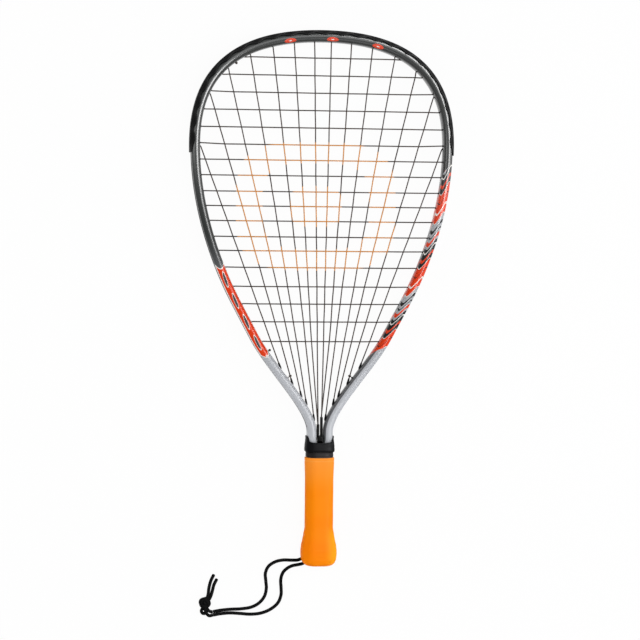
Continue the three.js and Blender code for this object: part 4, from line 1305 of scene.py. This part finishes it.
class RacketSizes(bpy.types.PropertyGroup):
    string_diameter: measure(
        "String diameter", "Thickness of the string, in millimetres", 1.3, 0.8, 1.8)
    cord_diameter: measure(
        "Cord diameter", "Thickness of the wrist cord, in millimetres", 3.5, 1.5, 5.0)
    braid_pitch: measure(
        "Braid pitch", "Width of one diamond of the cord's braid, in millimetres", 2.43, 0.5, 5.0)
    scallop_pitch: measure(
        "Scallop pitch", "Distance between the guard's scallops, in millimetres", 17.7, 8.0, 40.0)
    dimple_depth: measure(
        "Dimple depth", "Depth of the guard's small dimples, in millimetres", 0.5, 0.0, 0.8)
    stencil_width: measure(
        "Stencil width", "Width of the ring stencilled on the strings", 0.168, 0.02, 0.24,
        unit="LENGTH")
    stencil_height: measure(
        "Stencil height", "Height of the ring stencilled on the strings", 0.134, 0.02, 0.3,
        unit="LENGTH")
    tube_sides: IntProperty(
        name="Tube sides", description="Faces round a string", default=10, min=6, max=24)


def shade(name, description, value):
    return FloatVectorProperty(
        name=name, description=description, subtype="COLOR_GAMMA", size=3,
        default=value, min=0.0, max=1.0)


class RacketColours(bpy.types.PropertyGroup):
    silver: shade("Silver", "Frame paint at the throat", (0.74, 0.75, 0.77))
    gunmetal: shade("Gunmetal", "Frame paint at the head", (0.145, 0.155, 0.152))
    paint_orange: shade("Painted orange", "Painted shapes on the frame", (0.87, 0.24, 0.08))
    paint_pale: shade("Painted rim", "Pale rims of the painted shapes", (0.93, 0.92, 0.9))
    stencil: shade("Stencil", "Ring stencilled on the strings", (0.83, 0.56, 0.26))
    string_dark: shade("String", "Colour of the string", (0.27, 0.22, 0.19))
    guard_black: shade("Guards", "Bumper guard, strips and throat guide", (0.02, 0.02, 0.023))
    collar_black: shade("Collar", "Rubber boot at the throat", (0.03, 0.03, 0.045))
    band_grey: shade("Band", "Band between the collar and the grip", (0.15, 0.135, 0.14))
    grip_light: shade("Grip, light", "Grip rubber where it is lightest", (1.0, 0.555, 0.03))
    grip_deep: shade("Grip, deep", "Grip rubber where it is deepest", (1.0, 0.5, 0.0))
    # Painted highlight on the right of the grip's flare
    grip_highlight: shade("Grip, warm", "Grip rubber at the right of its flare", (1.0, 0.68, 0.1))
    grip_pale: shade("Grip, pale", "Grip rubber towards its top", (1.0, 0.66, 0.3))
    cord_black: shade("Cord", "Wrist cord", (0.03, 0.03, 0.035))


# Studio: each lamp's place, size and power, and whether it lights matt surfaces too

LAMPS = (
    ("Key", (1.6, 0.15, 0.9), (0.6, 1.3), 11, True),
    ("Top", (0.3, 0.1, 2.0), (1.2, 1.6), 15, True),
    ("Fill", (-1.5, 0.3, 0.9), (0.4, 1.2), 6.5, True),
    ("Foot", (0.1, -1.4, 1.0), (1.2, 0.5), 4, True),
    ("Gloss high", (0.95, 0.3, 1.35), (2.2, 0.8), 130, False),
    ("Gloss low", (1.7, 0.35, 0.4), (2.4, 0.7), 10, False),
)
WORLD_LIGHT = 0.36
FLOOR_REACH = 6.0
FLOOR_DROP = 0.0001
FLOOR_TINT = (0.9, 0.9, 0.9, 1)
FLOOR_GLOW = 0.95
WHITE = (1, 1, 1, 1)

# Cord's braid, whose valleys lie deeper by a share of its radius, and its course in the butt

CORD_STEP = 0.5
CORD_SIDES = 32
BRAID_LOBES = 4
BRAID_DEPTH = 0.07
BRAID_LEAD = 0.55
WRAP_POINTS = 72
ANCHOR_POINTS = 13
CORD_ALONG = unit(np.array((-math.cos(CORD_TURN), -math.sin(CORD_TURN), -CORD_FALL)))
CORD_ACROSS = np.array((-math.sin(CORD_TURN), math.cos(CORD_TURN), 0))

# Strips in the frame's groove, how far corners are eased, and the steps along the run

STRIP_BASE = FRAME_WIDTH * GROOVE_FLOOR[0] + CLEARANCE
STRIP_BASE_HALF = FRAME_DEPTH * GROOVE_FLOOR[1] - CLEARANCE
STRIP_MOUTH_HALF = FRAME_DEPTH * SECTION[-1][1] - CLEARANCE
GROOVE_EASE = 0.15
FRAME_STEP = 2.5
STRIP_STEP = 3.0
STRIP_EASE = 0.2
RIDGE_EASE = 0.25
CHANNEL_EASE = 0.15

# Barrels: the lip's rings by how far they lie before the tip and their share of the size

BARREL_SIDES = 18
BARREL_CORNER = 1.5
BARREL_TAPER = 1.4 * LEG_BARREL_REACH
LEG_TIP_SHARE = 0.66
BARREL_LIP = ((0.25, 1), (0.05, 0.93), (0, 0.84))
BORE_LIP = 1.04

# Guard's section: points of its lip, of its face with the dimple, and of its two corners

BUMPER_END = run_at(WIDEST - BUMPER_BELOW_WIDEST)
BUMPER_STEP = 0.9
LIP_POINTS = ((0.25, 0), (0.7, 0.05))
LIP_EDGE = (0.15, 0.22)
FACE_START = 0.4
FACE_STOP = 1.2
FACE_POINTS = 16
DIMPLE_PLACE = 2.1
DIMPLE_RADIUS = 0.95
CORNER_STEPS = ((-0.35, 0.9), (-0.1, 0.2), (0, -0.6))
MOUTH_STEPS = ((0, 0.5), (-0.15, 0.1), (-0.5, 0))

# Throat guide

GUIDE_STEPS = 12
GUIDE_LEAST_HALF = 1.0
GUIDE_EASE = 0.35
GUIDE_EASE_REACH = 0.6
GUIDE_ROOT = 1
GUIDE_LIP = 0.3
GUIDE_LIP_INSET = 0.12
SLAB_EASE = 0.3
SLAB_ROUNDING = 0.5

# Strings and their wound knots

STRING_CORNER = 1.6
TIE_WIRE = 0.6
TIE_TURNS = 2.6
TIE_POINTS = 90
TIE_SIDES = 10
CROSS_TIE_SIZE = 0.8

# Grip: butt and flare as shares of the handle, soft rings, and a groove by depth, drop and reach

SEAT = tuple(size + 2 * CLEARANCE for size in PALLET)
BUTT_SHARE = 0.05
BUTT_STEPS = 26
FLARE_STEPS = 60
BUTT_EDGE_SHARE = 0.008
SMOOTHING = (1, 2, 3, 2, 1)
SOFT_RINGS = (-245.5, -257.5)
SOFT_RING_RISE = 0.6
SOFT_RING_REACH = 2.2
SLEEVE_STEPS = 120
SLEEVE_STOP = 0.8
SLEEVE_GROOVE = (0.28, 4.0, 0.5)
SLEEVE_WAVE = 0.06
SLEEVE_WAVES = 0.24
SLEEVE_RIM = ((0.15, 0.45), (0.5, 0.12), (1.0, 0))
SLEEVE_SEAT = 3

# Collar: a lip and a rib by their height, place and reach, and rings by inset and lift

COLLAR_SIDES = 96
COLLAR_POWER = 3.6
COLLAR_STEPS = 24
COLLAR_LIP = (0.5, 0.93, 0.06)
COLLAR_RIB = (0.25, 0.18, 0.05)
COLLAR_TAPER = (0.05, 1.0)
COLLAR_FOOT_RINGS = ((1.4, 0), (0.7, 0.35), (0.2, 1.0))
COLLAR_RIM_RINGS = ((0.35, 0.25), (1.0, 0.3), (2 * COLLAR_WALL, 0))
COLLAR_RIM_DROP = 0.3
COLLAR_INSIDE = 9
COLLAR_INSIDE_DIP = 0.4
COLLAR_FOOT_RISE = 2
DIP_START = 0.03
DIP_WEIGHTS = ((0.88, 0.2), (0.12, 0.95))
DIP_FACE = (0.3, 0.9)
BAND_FOOT_RINGS = ((0.9, 0), (0.25, 0.2), (0, 0.6))
BAND_TOP_RINGS = (
    (0, 1.9), (0.35, 1.6), (0.35, 1.3), (0, 1.0), (0, 0.6), (0.25, 0.2), (0.9, 0),
)


# Pieces


class RACKET_OT_stage(bpy.types.Operator):
    """Camera at the photographed angle, soft studio light and a white floor"""
    bl_idname = "racket.stage"
    bl_label = "Stage"

    def execute(self, context):
        scene = context.scene
        scene.view_settings.view_transform = "Standard"
        self.camera(scene)
        for name, place, size, power, diffuse in LAMPS:
            self.light(scene, name, place, size, power, diffuse)
        self.world(scene)
        self.floor(scene)
        return {"FINISHED"}

    def camera(self, scene):
        toward = Vector((-math.sin(CAMERA_SIDE), math.sin(CAMERA_HEAD), 0))
        toward.z = math.sqrt(1 - toward.length_squared)
        up = (Vector((0, 1, 0)) - toward * toward.y).normalized()
        right = up.cross(toward)
        turn = math.cos(CAMERA_ROLL), math.sin(CAMERA_ROLL)
        axes = (right * turn[0] + up * turn[1], up * turn[0] - right * turn[1], toward)
        data = bpy.data.cameras.new("Camera")
        data.lens = CAMERA_LENS
        data.shift_x, data.shift_y = CAMERA_SHIFT
        data.clip_end = CAMERA_CLIP
        camera = bpy.data.objects.new("Camera", data)
        camera.matrix_world = (
            Matrix.Translation(Vector((0, 0, REST * MM)) + toward * CAMERA_DISTANCE)
            @ Matrix(axes).transposed().to_4x4()
        )
        scene.collection.objects.link(camera)
        scene.camera = camera

    def light(self, scene, name, place, size, power, diffuse):
        data = bpy.data.lights.new(name, "AREA")
        data.shape = "RECTANGLE"
        data.size, data.size_y = size
        data.energy = power
        lamp = bpy.data.objects.new(name, data)
        lamp.location = place
        lamp.rotation_euler = Vector(place).to_track_quat("Z", "Y").to_euler()
        lamp.visible_diffuse = diffuse
        scene.collection.objects.link(lamp)

    def seen(self, graph):
        """1 for the rays that show the backdrop itself"""
        path = graph.node("ShaderNodeLightPath").outputs
        rays = [path[name] for name in ("Is Camera Ray", "Is Glossy Ray", "Is Transmission Ray")]
        return graph.math("MAXIMUM", graph.math("MAXIMUM", rays[0], rays[1]), rays[2])

    def world(self, scene):
        scene.world = bpy.data.worlds.new("Studio")
        graph = fresh_graph(scene.world)
        strength = graph.plus(WORLD_LIGHT, graph.times(self.seen(graph), 1 - WORLD_LIGHT))
        back = graph.node("ShaderNodeBackground", {"Color": WHITE, "Strength": strength})
        graph.node("ShaderNodeOutputWorld", {"Surface": back.outputs[0]})

    def floor(self, scene):
        mesh = bpy.data.meshes.new("Floor")
        reach = FLOOR_REACH
        corners = [(-reach, -reach, 0), (reach, -reach, 0), (reach, reach, 0), (-reach, reach, 0)]
        mesh.from_pydata(corners, [], [(0, 1, 2, 3)])
        floor = bpy.data.objects.new("Floor", mesh)
        floor.location.z = -FLOOR_DROP
        scene.collection.objects.link(floor)
        made = bpy.data.materials.new("Floor")
        graph = fresh_graph(made)
        matt = graph.node("ShaderNodeBsdfDiffuse", {"Color": FLOOR_TINT}).outputs[0]
        glow = graph.node("ShaderNodeEmission", {"Color": WHITE, "Strength": 1.0}).outputs[0]
        share = graph.times(self.seen(graph), FLOOR_GLOW)
        both = graph.node("ShaderNodeMixShader", {0: share, 1: matt, 2: glow})
        graph.node("ShaderNodeOutputMaterial", {"Surface": both.outputs[0]})
        mesh.materials.append(made)
        floor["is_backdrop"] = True


def cord_bore(side, distance):
    return CORD_TURN_PLACE + CORD_ACROSS * side * CORD_SPACING / 2 + CORD_ALONG * distance


def braided(points, radius, looped=False):
    """Rings of a braided cord, raised where the strands lie on top"""
    lead = lengths_along(points)[:, None] / radius * BRAID_LOBES * BRAID_LEAD
    turns = BRAID_LOBES * (np.arange(CORD_SIDES) / CORD_SIDES * 2 * math.pi)
    height = np.maximum(np.abs(np.sin(turns + lead)), np.abs(np.sin(turns - lead)))
    radii = radius * (1 - BRAID_DEPTH + BRAID_DEPTH * height)
    return rings_round(points, radii, CORD_SIDES, looped)


def above_floor(points):
    return np.maximum(points, (-np.inf, -np.inf, LOWEST))


class RACKET_OT_wrist_cord(bpy.types.Operator):
    """Two braided strands from the butt to one knot with its eye and cut tails"""
    bl_idname = "racket.wrist_cord"
    bl_label = "Wrist cord"

    def execute(self, context):
        diameter = context.scene.racket_sizes.cord_diameter
        radius = diameter / 2
        finish = material("Braided cord")
        knot = self.knot(radius, finish)
        for name, side, points in (("upper", 1, UPPER_STRAND), ("lower", -1, LOWER_STRAND)):
            start = [cord_bore(side, CORD_ANCHOR + CLEARANCE), cord_bore(side, CORD_MOUTH)]
            path = spline([*start, *points], CORD_STEP)
            piece = Skin().add(above_floor(braided(path, radius))).build(
                f"cord_strand_{name}", finish, "cord", [f"wrist_cord_{name}"], sharp=180)
        return {"FINISHED"}

    def knot(self, radius, finish):
        skin = Skin()
        turns = np.arange(WRAP_POINTS) / WRAP_POINTS * 2 * math.pi
        circle = np.stack((np.cos(turns), np.sin(turns), np.zeros_like(turns)), axis=1)
        for reach, lift, tilt_x, tilt_y in KNOT_WRAPS:
            tilt = np.array(Matrix.Rotation(tilt_y, 3, "Y") @ Matrix.Rotation(tilt_x, 3, "X"))
            turn = KNOT_PLACE + (circle * reach + (0, 0, lift)) @ tilt.T
            skin.add(braided(turn, radius, looped=True), looped=True)
        skin.add(braided(EYE_PLACE + circle * EYE_RADIUS, radius, looped=True), looped=True)
        for points in (*STRAND_ENDS, *TAILS):
            path = spline(points, CORD_STEP)
            rings = braided(path, radius)
            if points in TAILS:
                shrink = np.ones(len(path))
                shrink[-len(TAIL_END):] = TAIL_END
                rings = path[:, None] + (rings - path[:, None]) * shrink[:, None, None]
            skin.add(rings)
        skin.points = [above_floor(points) for points in skin.points]
        return skin.build("cord_knot", finish, "cord", ["wrist_cord_knot"], sharp=180)


def even_runs(start, end, step):
    return np.linspace(start, end, max(2, math.ceil(abs(end - start) / step) + 1))


def runs_both_ways(end, step):
    half = even_runs(0, end, step)
    return np.concatenate((-half[:0:-1], half))


def ring_at(run, section):
    """A section of places out and up, laid square to the frame's run"""
    return on_frame(np.full(len(section), run), section[:, 0], section[:, 1])


def frame_rings(runs, section, groove_section):
    """Rings of the tube: slimmer inside the handle, with the groove fading out at the throat"""
    rings = []
    for run in runs:
        y = float(frame_at(run)[0][1])
        slim = smoothstep(NARROW - y, 0, LEG_NARROWING)
        groove = smoothstep(y - GROOVE_END, 0, GROOVE_RUN_OUT)
        shape = lerp(section, groove_section, groove)
        width, depth = lerp(FRAME_WIDTH, LEG_WIDTH, slim), lerp(FRAME_DEPTH, LEG_DEPTH, slim)
        swell = CROWN_SWELL * (1 - smoothstep(abs(run), *CROWN_SWELL_RUNS))
        out = shape[:, 0] * width + np.minimum(shape[:, 0], 0) * 2 * swell
        rings.append(ring_at(run, np.stack((out, shape[:, 1] * depth), axis=1)))
    return rings


class RACKET_OT_frame(bpy.types.Operator):
    """The painted tube of the head, with its two legs in the handle"""
    bl_idname = "racket.frame"
    bl_label = "Frame"

    def execute(self, context):
        grooved = eased_section([*SECTION, (*GROOVE_FLOOR, GROOVE_EASE)])
        closed = eased_section([*SECTION, (SECTION[-1][0], GROOVE_FLOOR[1], GROOVE_EASE)])
        runs = runs_both_ways(TOTAL_RUN, FRAME_STEP)
        around = np.append(grooved[:, 0], grooved[0, 0]) * FRAME_WIDTH
        skin = Skin().add(frame_rings(runs, closed, grooved), along=runs, around=around)
        skin.build("frame_tube", material("Frame paint"), "frame", ["frame"], sharp=50)
        return {"FINISHED"}


def barrel_rings(route, start, tip_share):
    """A string barrel: out along its route, round its tip and back along its bore"""
    points = [np.array(point, float) for point in route]
    points[0] = points[0] + unit(points[0] - points[1]) * start
    path = eased(points, BARREL_CORNER)
    left = lengths_along(path)[-1] - lengths_along(path)
    thin = lerp(tip_share, 1, smoothstep(left, 0, BARREL_TAPER))
    outer, inner = (
        rings_round(path, size / 2 * thin, BARREL_SIDES) for size in (BARREL, BARREL_BORE)
    )
    tip = path[-1]
    ahead = unit(tip - path[-2])
    lip = [tip - ahead * back + (outer[-1] - tip) * share for back, share in BARREL_LIP]
    lip.append(tip + (inner[-1] - tip) * BORE_LIP)
    return np.concatenate((outer[:-1], lip, inner[::-1]))


def add_barrels(skin, hand, keep):
    start = STRIP_BASE + STRIP_FLOOR / 2 - GROOVE_TURN
    for run, route in barrel_routes(hand):
        if keep(run):
            at_leg = np.linalg.norm(route[-1] - route[-2]) >= LEG_BARREL_REACH - CLEARANCE
            skin.add(barrel_rings(route, start, LEG_TIP_SHARE if at_leg else 1), looped=True)


def strip_rings(hand, start):
    top = STRIP_BASE + STRIP_FLOOR
    ridge = top + RIDGE_RISE
    section = eased_section([
        (STRIP_BASE, STRIP_BASE_HALF, STRIP_EASE), (ridge, STRIP_MOUTH_HALF, RIDGE_EASE),
        (ridge, CHANNEL_HALF, RIDGE_EASE), (top, CHANNEL_HALF, CHANNEL_EASE),
    ])
    return [ring_at(run * hand, section) for run in even_runs(start, STRIP_END, STRIP_STEP)]


class RACKET_OT_strips(bpy.types.Operator):
    """Grommet strips in the frame's groove, with a barrel at every string hole"""
    bl_idname = "racket.strips"
    bl_label = "Grommet strips"

    def execute(self, context):
        start = BUMPER_END + STRIP_JOINT
        for name, hand in (("left", -1), ("right", 1)):
            skin = Skin().add(strip_rings(hand, start))
            add_barrels(skin, hand, lambda run: run > start)
            skin.build(f"strip_{name}", material("Guard nylon"), "guard", [f"grommet_strip_{name}"])
        return {"FINISHED"}


class RACKET_OT_bumper(bpy.types.Operator):
    """Guard over the crown: scalloped lips with a small dimple in each scallop"""
    bl_idname = "racket.bumper"
    bl_label = "Bumper guard"

    def execute(self, context):
        sizes = context.scene.racket_sizes
        runs = runs_both_ways(BUMPER_END, BUMPER_STEP)
        skin = Skin().add([self.ring(run, sizes) for run in runs])
        for hand in (-1, 1):
            add_barrels(skin, hand, lambda run: run < BUMPER_END)
        skin.build("bumper", material("Guard nylon"), "guard", ["bumper_guard"], sharp=48)
        return {"FINISHED"}

    def ring(self, run, sizes):
        """The guard's section, seated on the slope from the groove's edge up to the tube's crest"""
        pitch = sizes.scallop_pitch
        wave = math.cos(2 * math.pi * run / pitch)
        fade = float(smoothstep(BUMPER_END - abs(run), 0, pitch / 2))
        lip = lerp(LIP_END, LIP_REACH + LIP_SCALLOP * wave, fade)
        crest, foot = (
            np.array(corner[:2]) * (FRAME_WIDTH, FRAME_DEPTH) for corner in SECTION[2:4]
        )
        rise = unit(crest - foot)
        outward = np.array((rise[1], -rise[0]))
        seat = foot + outward * CLEARANCE
        inner = seat + rise * lip
        edge = inner + outward * BUMPER_SHELL
        mouth = np.array((FRAME_WIDTH / 2 + BUMPER_PROUD, CHANNEL_HALF))
        corner = np.array((mouth[0], foot[1] * BUMPER_CORNER))
        reach = np.linalg.norm(corner - edge)
        down = (corner - edge) / reach
        near = abs((run + pitch / 2) % pitch - pitch / 2)
        groove_edge = (FRAME_WIDTH / 2 + CLEARANCE, STRIP_MOUTH_HALF)
        half = [(STRIP_BASE, STRIP_BASE_HALF), groove_edge, seat]
        half += [inner + outward * out + rise * up for out, up in LIP_POINTS]
        half.append(edge + down * LIP_EDGE[0] - outward * LIP_EDGE[1])
        for distance in np.linspace(FACE_START, reach - FACE_STOP, FACE_POINTS):
            hollow = math.hypot(near, distance - DIMPLE_PLACE)
            depth = sizes.dimple_depth * fade * bell(hollow, 0, DIMPLE_RADIUS)
            half.append(edge + down * distance - outward * depth)
        half += [corner + step for step in CORNER_STEPS]
        half += [mouth + step for step in MOUTH_STEPS]
        half = np.array([*half, (STRIP_BASE + STRIP_FLOOR, CHANNEL_HALF)])
        return ring_at(run, np.concatenate((half, half[::-1] * (1, -1))))


class RACKET_OT_throat_guide(bpy.types.Operator):
    """Block between the legs with two string tubes of unlike height"""
    bl_idname = "racket.throat_guide"
    bl_label = "Throat guide"

    def execute(self, context):
        rings = []
        for y in np.linspace(GUIDE_FOOT, GUIDE_TOP, GUIDE_STEPS):
            run = find_run(ENDS["side"], TOTAL_RUN, lambda at: on_wall(at)[1] - y)
            wide = max(float(on_wall(run)[0]) - 2 * CLEARANCE, GUIDE_LEAST_HALF)
            end = min(y - GUIDE_FOOT, GUIDE_TOP - y)
            ease = GUIDE_EASE * max(0, 1 - end / GUIDE_EASE_REACH)
            rings.append(self.slab(wide - ease, GUIDE_DEPTH / 2 - ease, 0, y))
        skin = Skin().add(rings)
        width, depth = (size / 2 for size in GUIDE_TUBE)
        slot = (BARREL_BORE / 2, BARREL_BORE / 2 + GUIDE_ROW)
        root = GUIDE_TOP - GUIDE_ROOT
        for hand in (-1, 1):
            top = GUIDE_TOP + GUIDE_REACH[hand]
            levels = (
                (width, depth, root), (width, depth, top - GUIDE_LIP),
                (width - GUIDE_LIP_INSET, depth - GUIDE_LIP_INSET, top),
                (*slot, top), (*slot, root),
            )
            skin.add([self.slab(w, d, GUIDE_HALF * hand, y) for w, d, y in levels], looped=True)
        skin.build("guide", material("Guard nylon"), "guard", ["throat_guide"])
        return {"FINISHED"}

    def slab(self, wide, deep, x, y):
        ease = min(SLAB_EASE, SLAB_ROUNDING / deep)
        section = eased_section([(1, 1, ease), (-1, 1, ease)])
        return np.stack((
            x + section[:, 0] * wide, np.full(len(section), y), REST + section[:, 1] * deep,
        ), axis=1)


class RACKET_OT_strings(bpy.types.Operator):
    """Both strings, woven through each other and through every barrel"""
    bl_idname = "racket.strings"
    bl_label = "Strings"

    def execute(self, context):
        sizes = context.scene.racket_sizes
        finish = material("Nylon string")
        for name, path in (("main", main_path()), ("cross", cross_path())):
            course = eased(path, STRING_CORNER)
            skin = Skin().add(rings_round(course, sizes.string_diameter / 2, sizes.tube_sides))
            skin.build(f"{name}_string_round", finish, "string", [f"{name}_string"], sharp=180)
        return {"FINISHED"}


class RACKET_OT_tie_offs(bpy.types.Operator):
    """Wound knots where the strings' ends are tied off"""
    bl_idname = "racket.tie_offs"
    bl_label = "Tie-off knots"

    def execute(self, context):
        for name, hand in (("left", -1), ("right", 1)):
            foot, axis = main_knot_place(hand)
            self.knot(f"main_string_knot_{name}", foot, axis, KNOT_RADIUS)
        for name, run in zip(("top", "foot"), CROSS_TIES):
            foot = on_frame(-run, INNER_WALL - BARREL_TIP - CLEARANCE, ROW)
            axis = unit(foot - on_frame(-run, 0, ROW))
            self.knot(f"cross_string_knot_{name}", foot, axis, CROSS_TIE_SIZE * KNOT_RADIUS)
        return {"FINISHED"}

    def knot(self, node, foot, axis, radius):
        across = unit(np.cross((0, 0, 1), axis))
        up = np.cross(axis, across)
        turns = np.linspace(0, TIE_TURNS * 2 * math.pi, TIE_POINTS)[:, None]
        lift = np.linspace(TIE_WIRE, KNOT_LENGTH - TIE_WIRE, TIE_POINTS)[:, None]
        coil = radius - TIE_WIRE
        path = foot + axis * lift + across * np.cos(turns) * coil + up * np.sin(turns) * coil
        skin = Skin().add(rings_round(path, TIE_WIRE, TIE_SIDES))
        skin.build(f"wound_{node}", material("Nylon string"), "string", [node], sharp=180)


class RACKET_OT_grip(bpy.types.Operator):
    """Rubber sleeve with soft bands, two soft rings at its flare, a rounded butt and a wider top"""
    bl_idname = "racket.grip"
    bl_label = "Grip"

    def execute(self, context):
        levels, rings = self.butt_and_flare()
        start = levels[-1] * HANDLE_LENGTH - HALF_LENGTH
        for y in np.linspace(start, GRIP_TOP - SLEEVE_STOP, SLEEVE_STEPS)[1:]:
            deep, drop, reach = SLEEVE_GROOVE
            groove = deep * bell(y, GRIP_TOP - drop, reach)
            swell = SLEEVE_WAVE * math.sin(y * SLEEVE_WAVES)
            flare = GRIP_FLARE * bell(y, GRIP_TOP, GRIP_FLARE_REACH)
            rings.append(self.wider(swell - SLEEVE_WAVE - groove + flare, y))
        rings += [self.wider(GRIP_FLARE - inset, GRIP_TOP - drop) for inset, drop in SLEEVE_RIM]
        rings += [octagon_ring(*SEAT, GRIP_TOP), octagon_ring(*SEAT, GRIP_TOP - SLEEVE_SEAT)]
        skin = Skin().add(rings)
        skin.build("grip_sleeve", material("Orange rubber"), "grip", ["grip"], sharp=50)
        return {"FINISHED"}

    def wider(self, change, y):
        return octagon_ring(GRIP_WIDTH + change, GRIP_DEPTH + change, y)

    def butt_and_flare(self):
        """Levels as shares of the handle from the butt's end up, and the grip's rings there"""
        distances, opened = zip(*reversed(SWELL))
        butt = np.linspace(0, BUTT_SHARE, BUTT_STEPS)[:-1]
        levels = np.concatenate((butt, np.linspace(BUTT_SHARE, distances[-1], FLARE_STEPS)))
        share = np.interp(levels, distances, opened)
        kernel = np.array(SMOOTHING) / sum(SMOOTHING)
        padded = np.pad(share, len(SMOOTHING) // 2, mode="edge")
        smooth = np.convolve(padded, kernel, mode="valid")
        share = np.where(levels < BUTT_EDGE_SHARE, share, smooth)
        rings = []
        for level, open_share in zip(levels, share):
            y = level * HANDLE_LENGTH - HALF_LENGTH
            ring = SOFT_RING_RISE * sum(bell(y, at, SOFT_RING_REACH) for at in SOFT_RINGS)
            width = lerp(GRIP_WIDTH, BUTT_WIDTH, open_share) + (ring if level > BUTT_SHARE else 0)
            rings.append(octagon_ring(width, lerp(GRIP_DEPTH, BUTT_DEPTH, open_share), y))
        return levels, rings


def collar_ring(width, depth, y, dip):
    """A rounded box section whose rim dips at the middle of each face"""
    turns = np.arange(COLLAR_SIDES) / COLLAR_SIDES * 2 * math.pi
    waves = np.cos(turns), np.sin(turns)
    x, z = (np.sign(wave) * np.abs(wave) ** (2 / COLLAR_POWER) for wave in waves)
    drop = sum(
        weight * smoothstep(1 - np.abs(x), DIP_START, reach) for weight, reach in DIP_WEIGHTS
    )
    drop = drop * smoothstep(np.abs(z), *DIP_FACE)
    return np.stack((x * width / 2, y - dip * drop, REST + z * depth / 2), axis=1)


class RACKET_OT_collar(bpy.types.Operator):
    """Rubber boot round the throat and the band under it"""
    bl_idname = "racket.collar"
    bl_label = "Collar and band"

    def execute(self, context):
        foot_y = COLLAR_TOP - COLLAR_LENGTH
        start = foot_y + COLLAR_FOOT_RISE
        top, foot = np.array(COLLAR_TOP_SIZE), np.array(COLLAR_FOOT_SIZE)
        rings = [
            collar_ring(*(foot - inset), foot_y + lift, 0) for inset, lift in COLLAR_FOOT_RINGS
        ]
        for share in np.linspace(0, 1, COLLAR_STEPS):
            size = lerp(foot, top, smoothstep(share, *COLLAR_TAPER))
            lip, rib = (
                height * bell(share, place, reach)
                for height, place, reach in (COLLAR_LIP, COLLAR_RIB)
            )
            size = np.minimum(size + lip - rib, foot)
            rings.append(collar_ring(*size, lerp(start, COLLAR_TOP, share), COLLAR_DIP * share))
        for inset, lift in COLLAR_RIM_RINGS:
            y = COLLAR_TOP + lift - COLLAR_RIM_DROP
            rings.append(collar_ring(*(top - inset), y, COLLAR_DIP))
        rings += [
            collar_ring(
                *(top - 2 * COLLAR_WALL), COLLAR_TOP - COLLAR_INSIDE,
                COLLAR_DIP * COLLAR_INSIDE_DIP),
            collar_ring(*SEAT, start, 0),
            collar_ring(*SEAT, foot_y, 0),
        ]
        skin = Skin().add(rings, looped=True)
        skin.build("collar", material("Collar rubber"), "collar", ["throat_collar"], sharp=60)
        self.band(foot_y - CLEARANCE)
        return {"FINISHED"}

    def band(self, top):
        foot = top - BAND_LENGTH
        levels = [(inset, foot + lift) for inset, lift in BAND_FOOT_RINGS]
        levels += [(inset, top - drop) for inset, drop in BAND_TOP_RINGS]
        width, depth = BAND_SIZE
        rings = [octagon_ring(width - inset, depth - inset, y) for inset, y in levels]
        rings += [octagon_ring(*SEAT, top), octagon_ring(*SEAT, foot)]
        skin = Skin().add(rings, looped=True)
        skin.build("band", material("Band rubber"), "band", ["grip_band"], sharp=50)


class RACKET_OT_inner_pieces(bpy.types.Operator):
    """Finishes of the pieces inside the handle, and the cord's turn round the cap's bridge"""
    bl_idname = "racket.inner_pieces"
    bl_label = "Inner pieces"

    def execute(self, context):
        finishes = {
            "butt_cap": "Cap moulding",
            "handle_pallet_front": "Pallet foam",
            "handle_pallet_back": "Pallet foam",
            "butt_cap_staple_front": "Staple wire",
            "butt_cap_staple_back": "Staple wire",
        }
        for node, finish in finishes.items():
            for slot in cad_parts[node].material_slots:
                slot.material = material(finish)
        self.anchor(context.scene.racket_sizes.cord_diameter / 2)
        return {"FINISHED"}

    def anchor(self, radius):
        reach = CORD_SPACING / 2
        turn = []
        for angle in np.linspace(0, math.pi, ANCHOR_POINTS):
            beside = CORD_TURN_PLACE + CORD_ACROSS * reach * math.cos(angle)
            turn.append(beside - CORD_ALONG * reach * math.sin(angle))
        start, end = (cord_bore(side, CORD_ANCHOR) for side in (1, -1))
        skin = Skin().add(braided(spline([start, *turn, end], CORD_STEP), radius))
        skin.build("cord_anchor", material("Braided cord"), "cord", ["cord_anchor_loop"], sharp=180)


class RACKET_PT_panel(bpy.types.Panel):
    """Sizes, colours and pieces of the racket"""
    bl_idname = "RACKET_PT_panel"
    bl_label = "Racket"
    bl_space_type = "VIEW_3D"
    bl_region_type = "UI"
    bl_category = "Racket"

    def draw(self, context):
        layout = self.layout
        for operator in OPERATORS:
            layout.operator(operator.bl_idname)
        for group in (context.scene.racket_sizes, context.scene.racket_colours):
            for name in group.__annotations__:
                layout.prop(group, name)


OPERATORS = (
    RACKET_OT_stage,
    RACKET_OT_wrist_cord,
    RACKET_OT_frame,
    RACKET_OT_bumper,
    RACKET_OT_strips,
    RACKET_OT_throat_guide,
    RACKET_OT_strings,
    RACKET_OT_tie_offs,
    RACKET_OT_collar,
    RACKET_OT_grip,
    RACKET_OT_inner_pieces,
)
CLASSES = (RacketSizes, RacketColours, *OPERATORS, RACKET_PT_panel)


def register():
    for kind in CLASSES:
        bpy.utils.register_class(kind)
    bpy.types.Scene.racket_sizes = PointerProperty(type=RacketSizes)
    bpy.types.Scene.racket_colours = PointerProperty(type=RacketColours)


def unregister():
    del bpy.types.Scene.racket_colours
    del bpy.types.Scene.racket_sizes
    for kind in reversed(CLASSES):
        bpy.utils.unregister_class(kind)


def corners(box):
    return [list(corner) for corner in box]


def main():
    register()
    for operator in OPERATORS:
        family, name = operator.bl_idname.split(".")
        getattr(getattr(bpy.ops, family), name)()
    {"cad": corners(CAD_BOX), "visual": corners(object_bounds())}


if __name__ == "__main__":
    main()
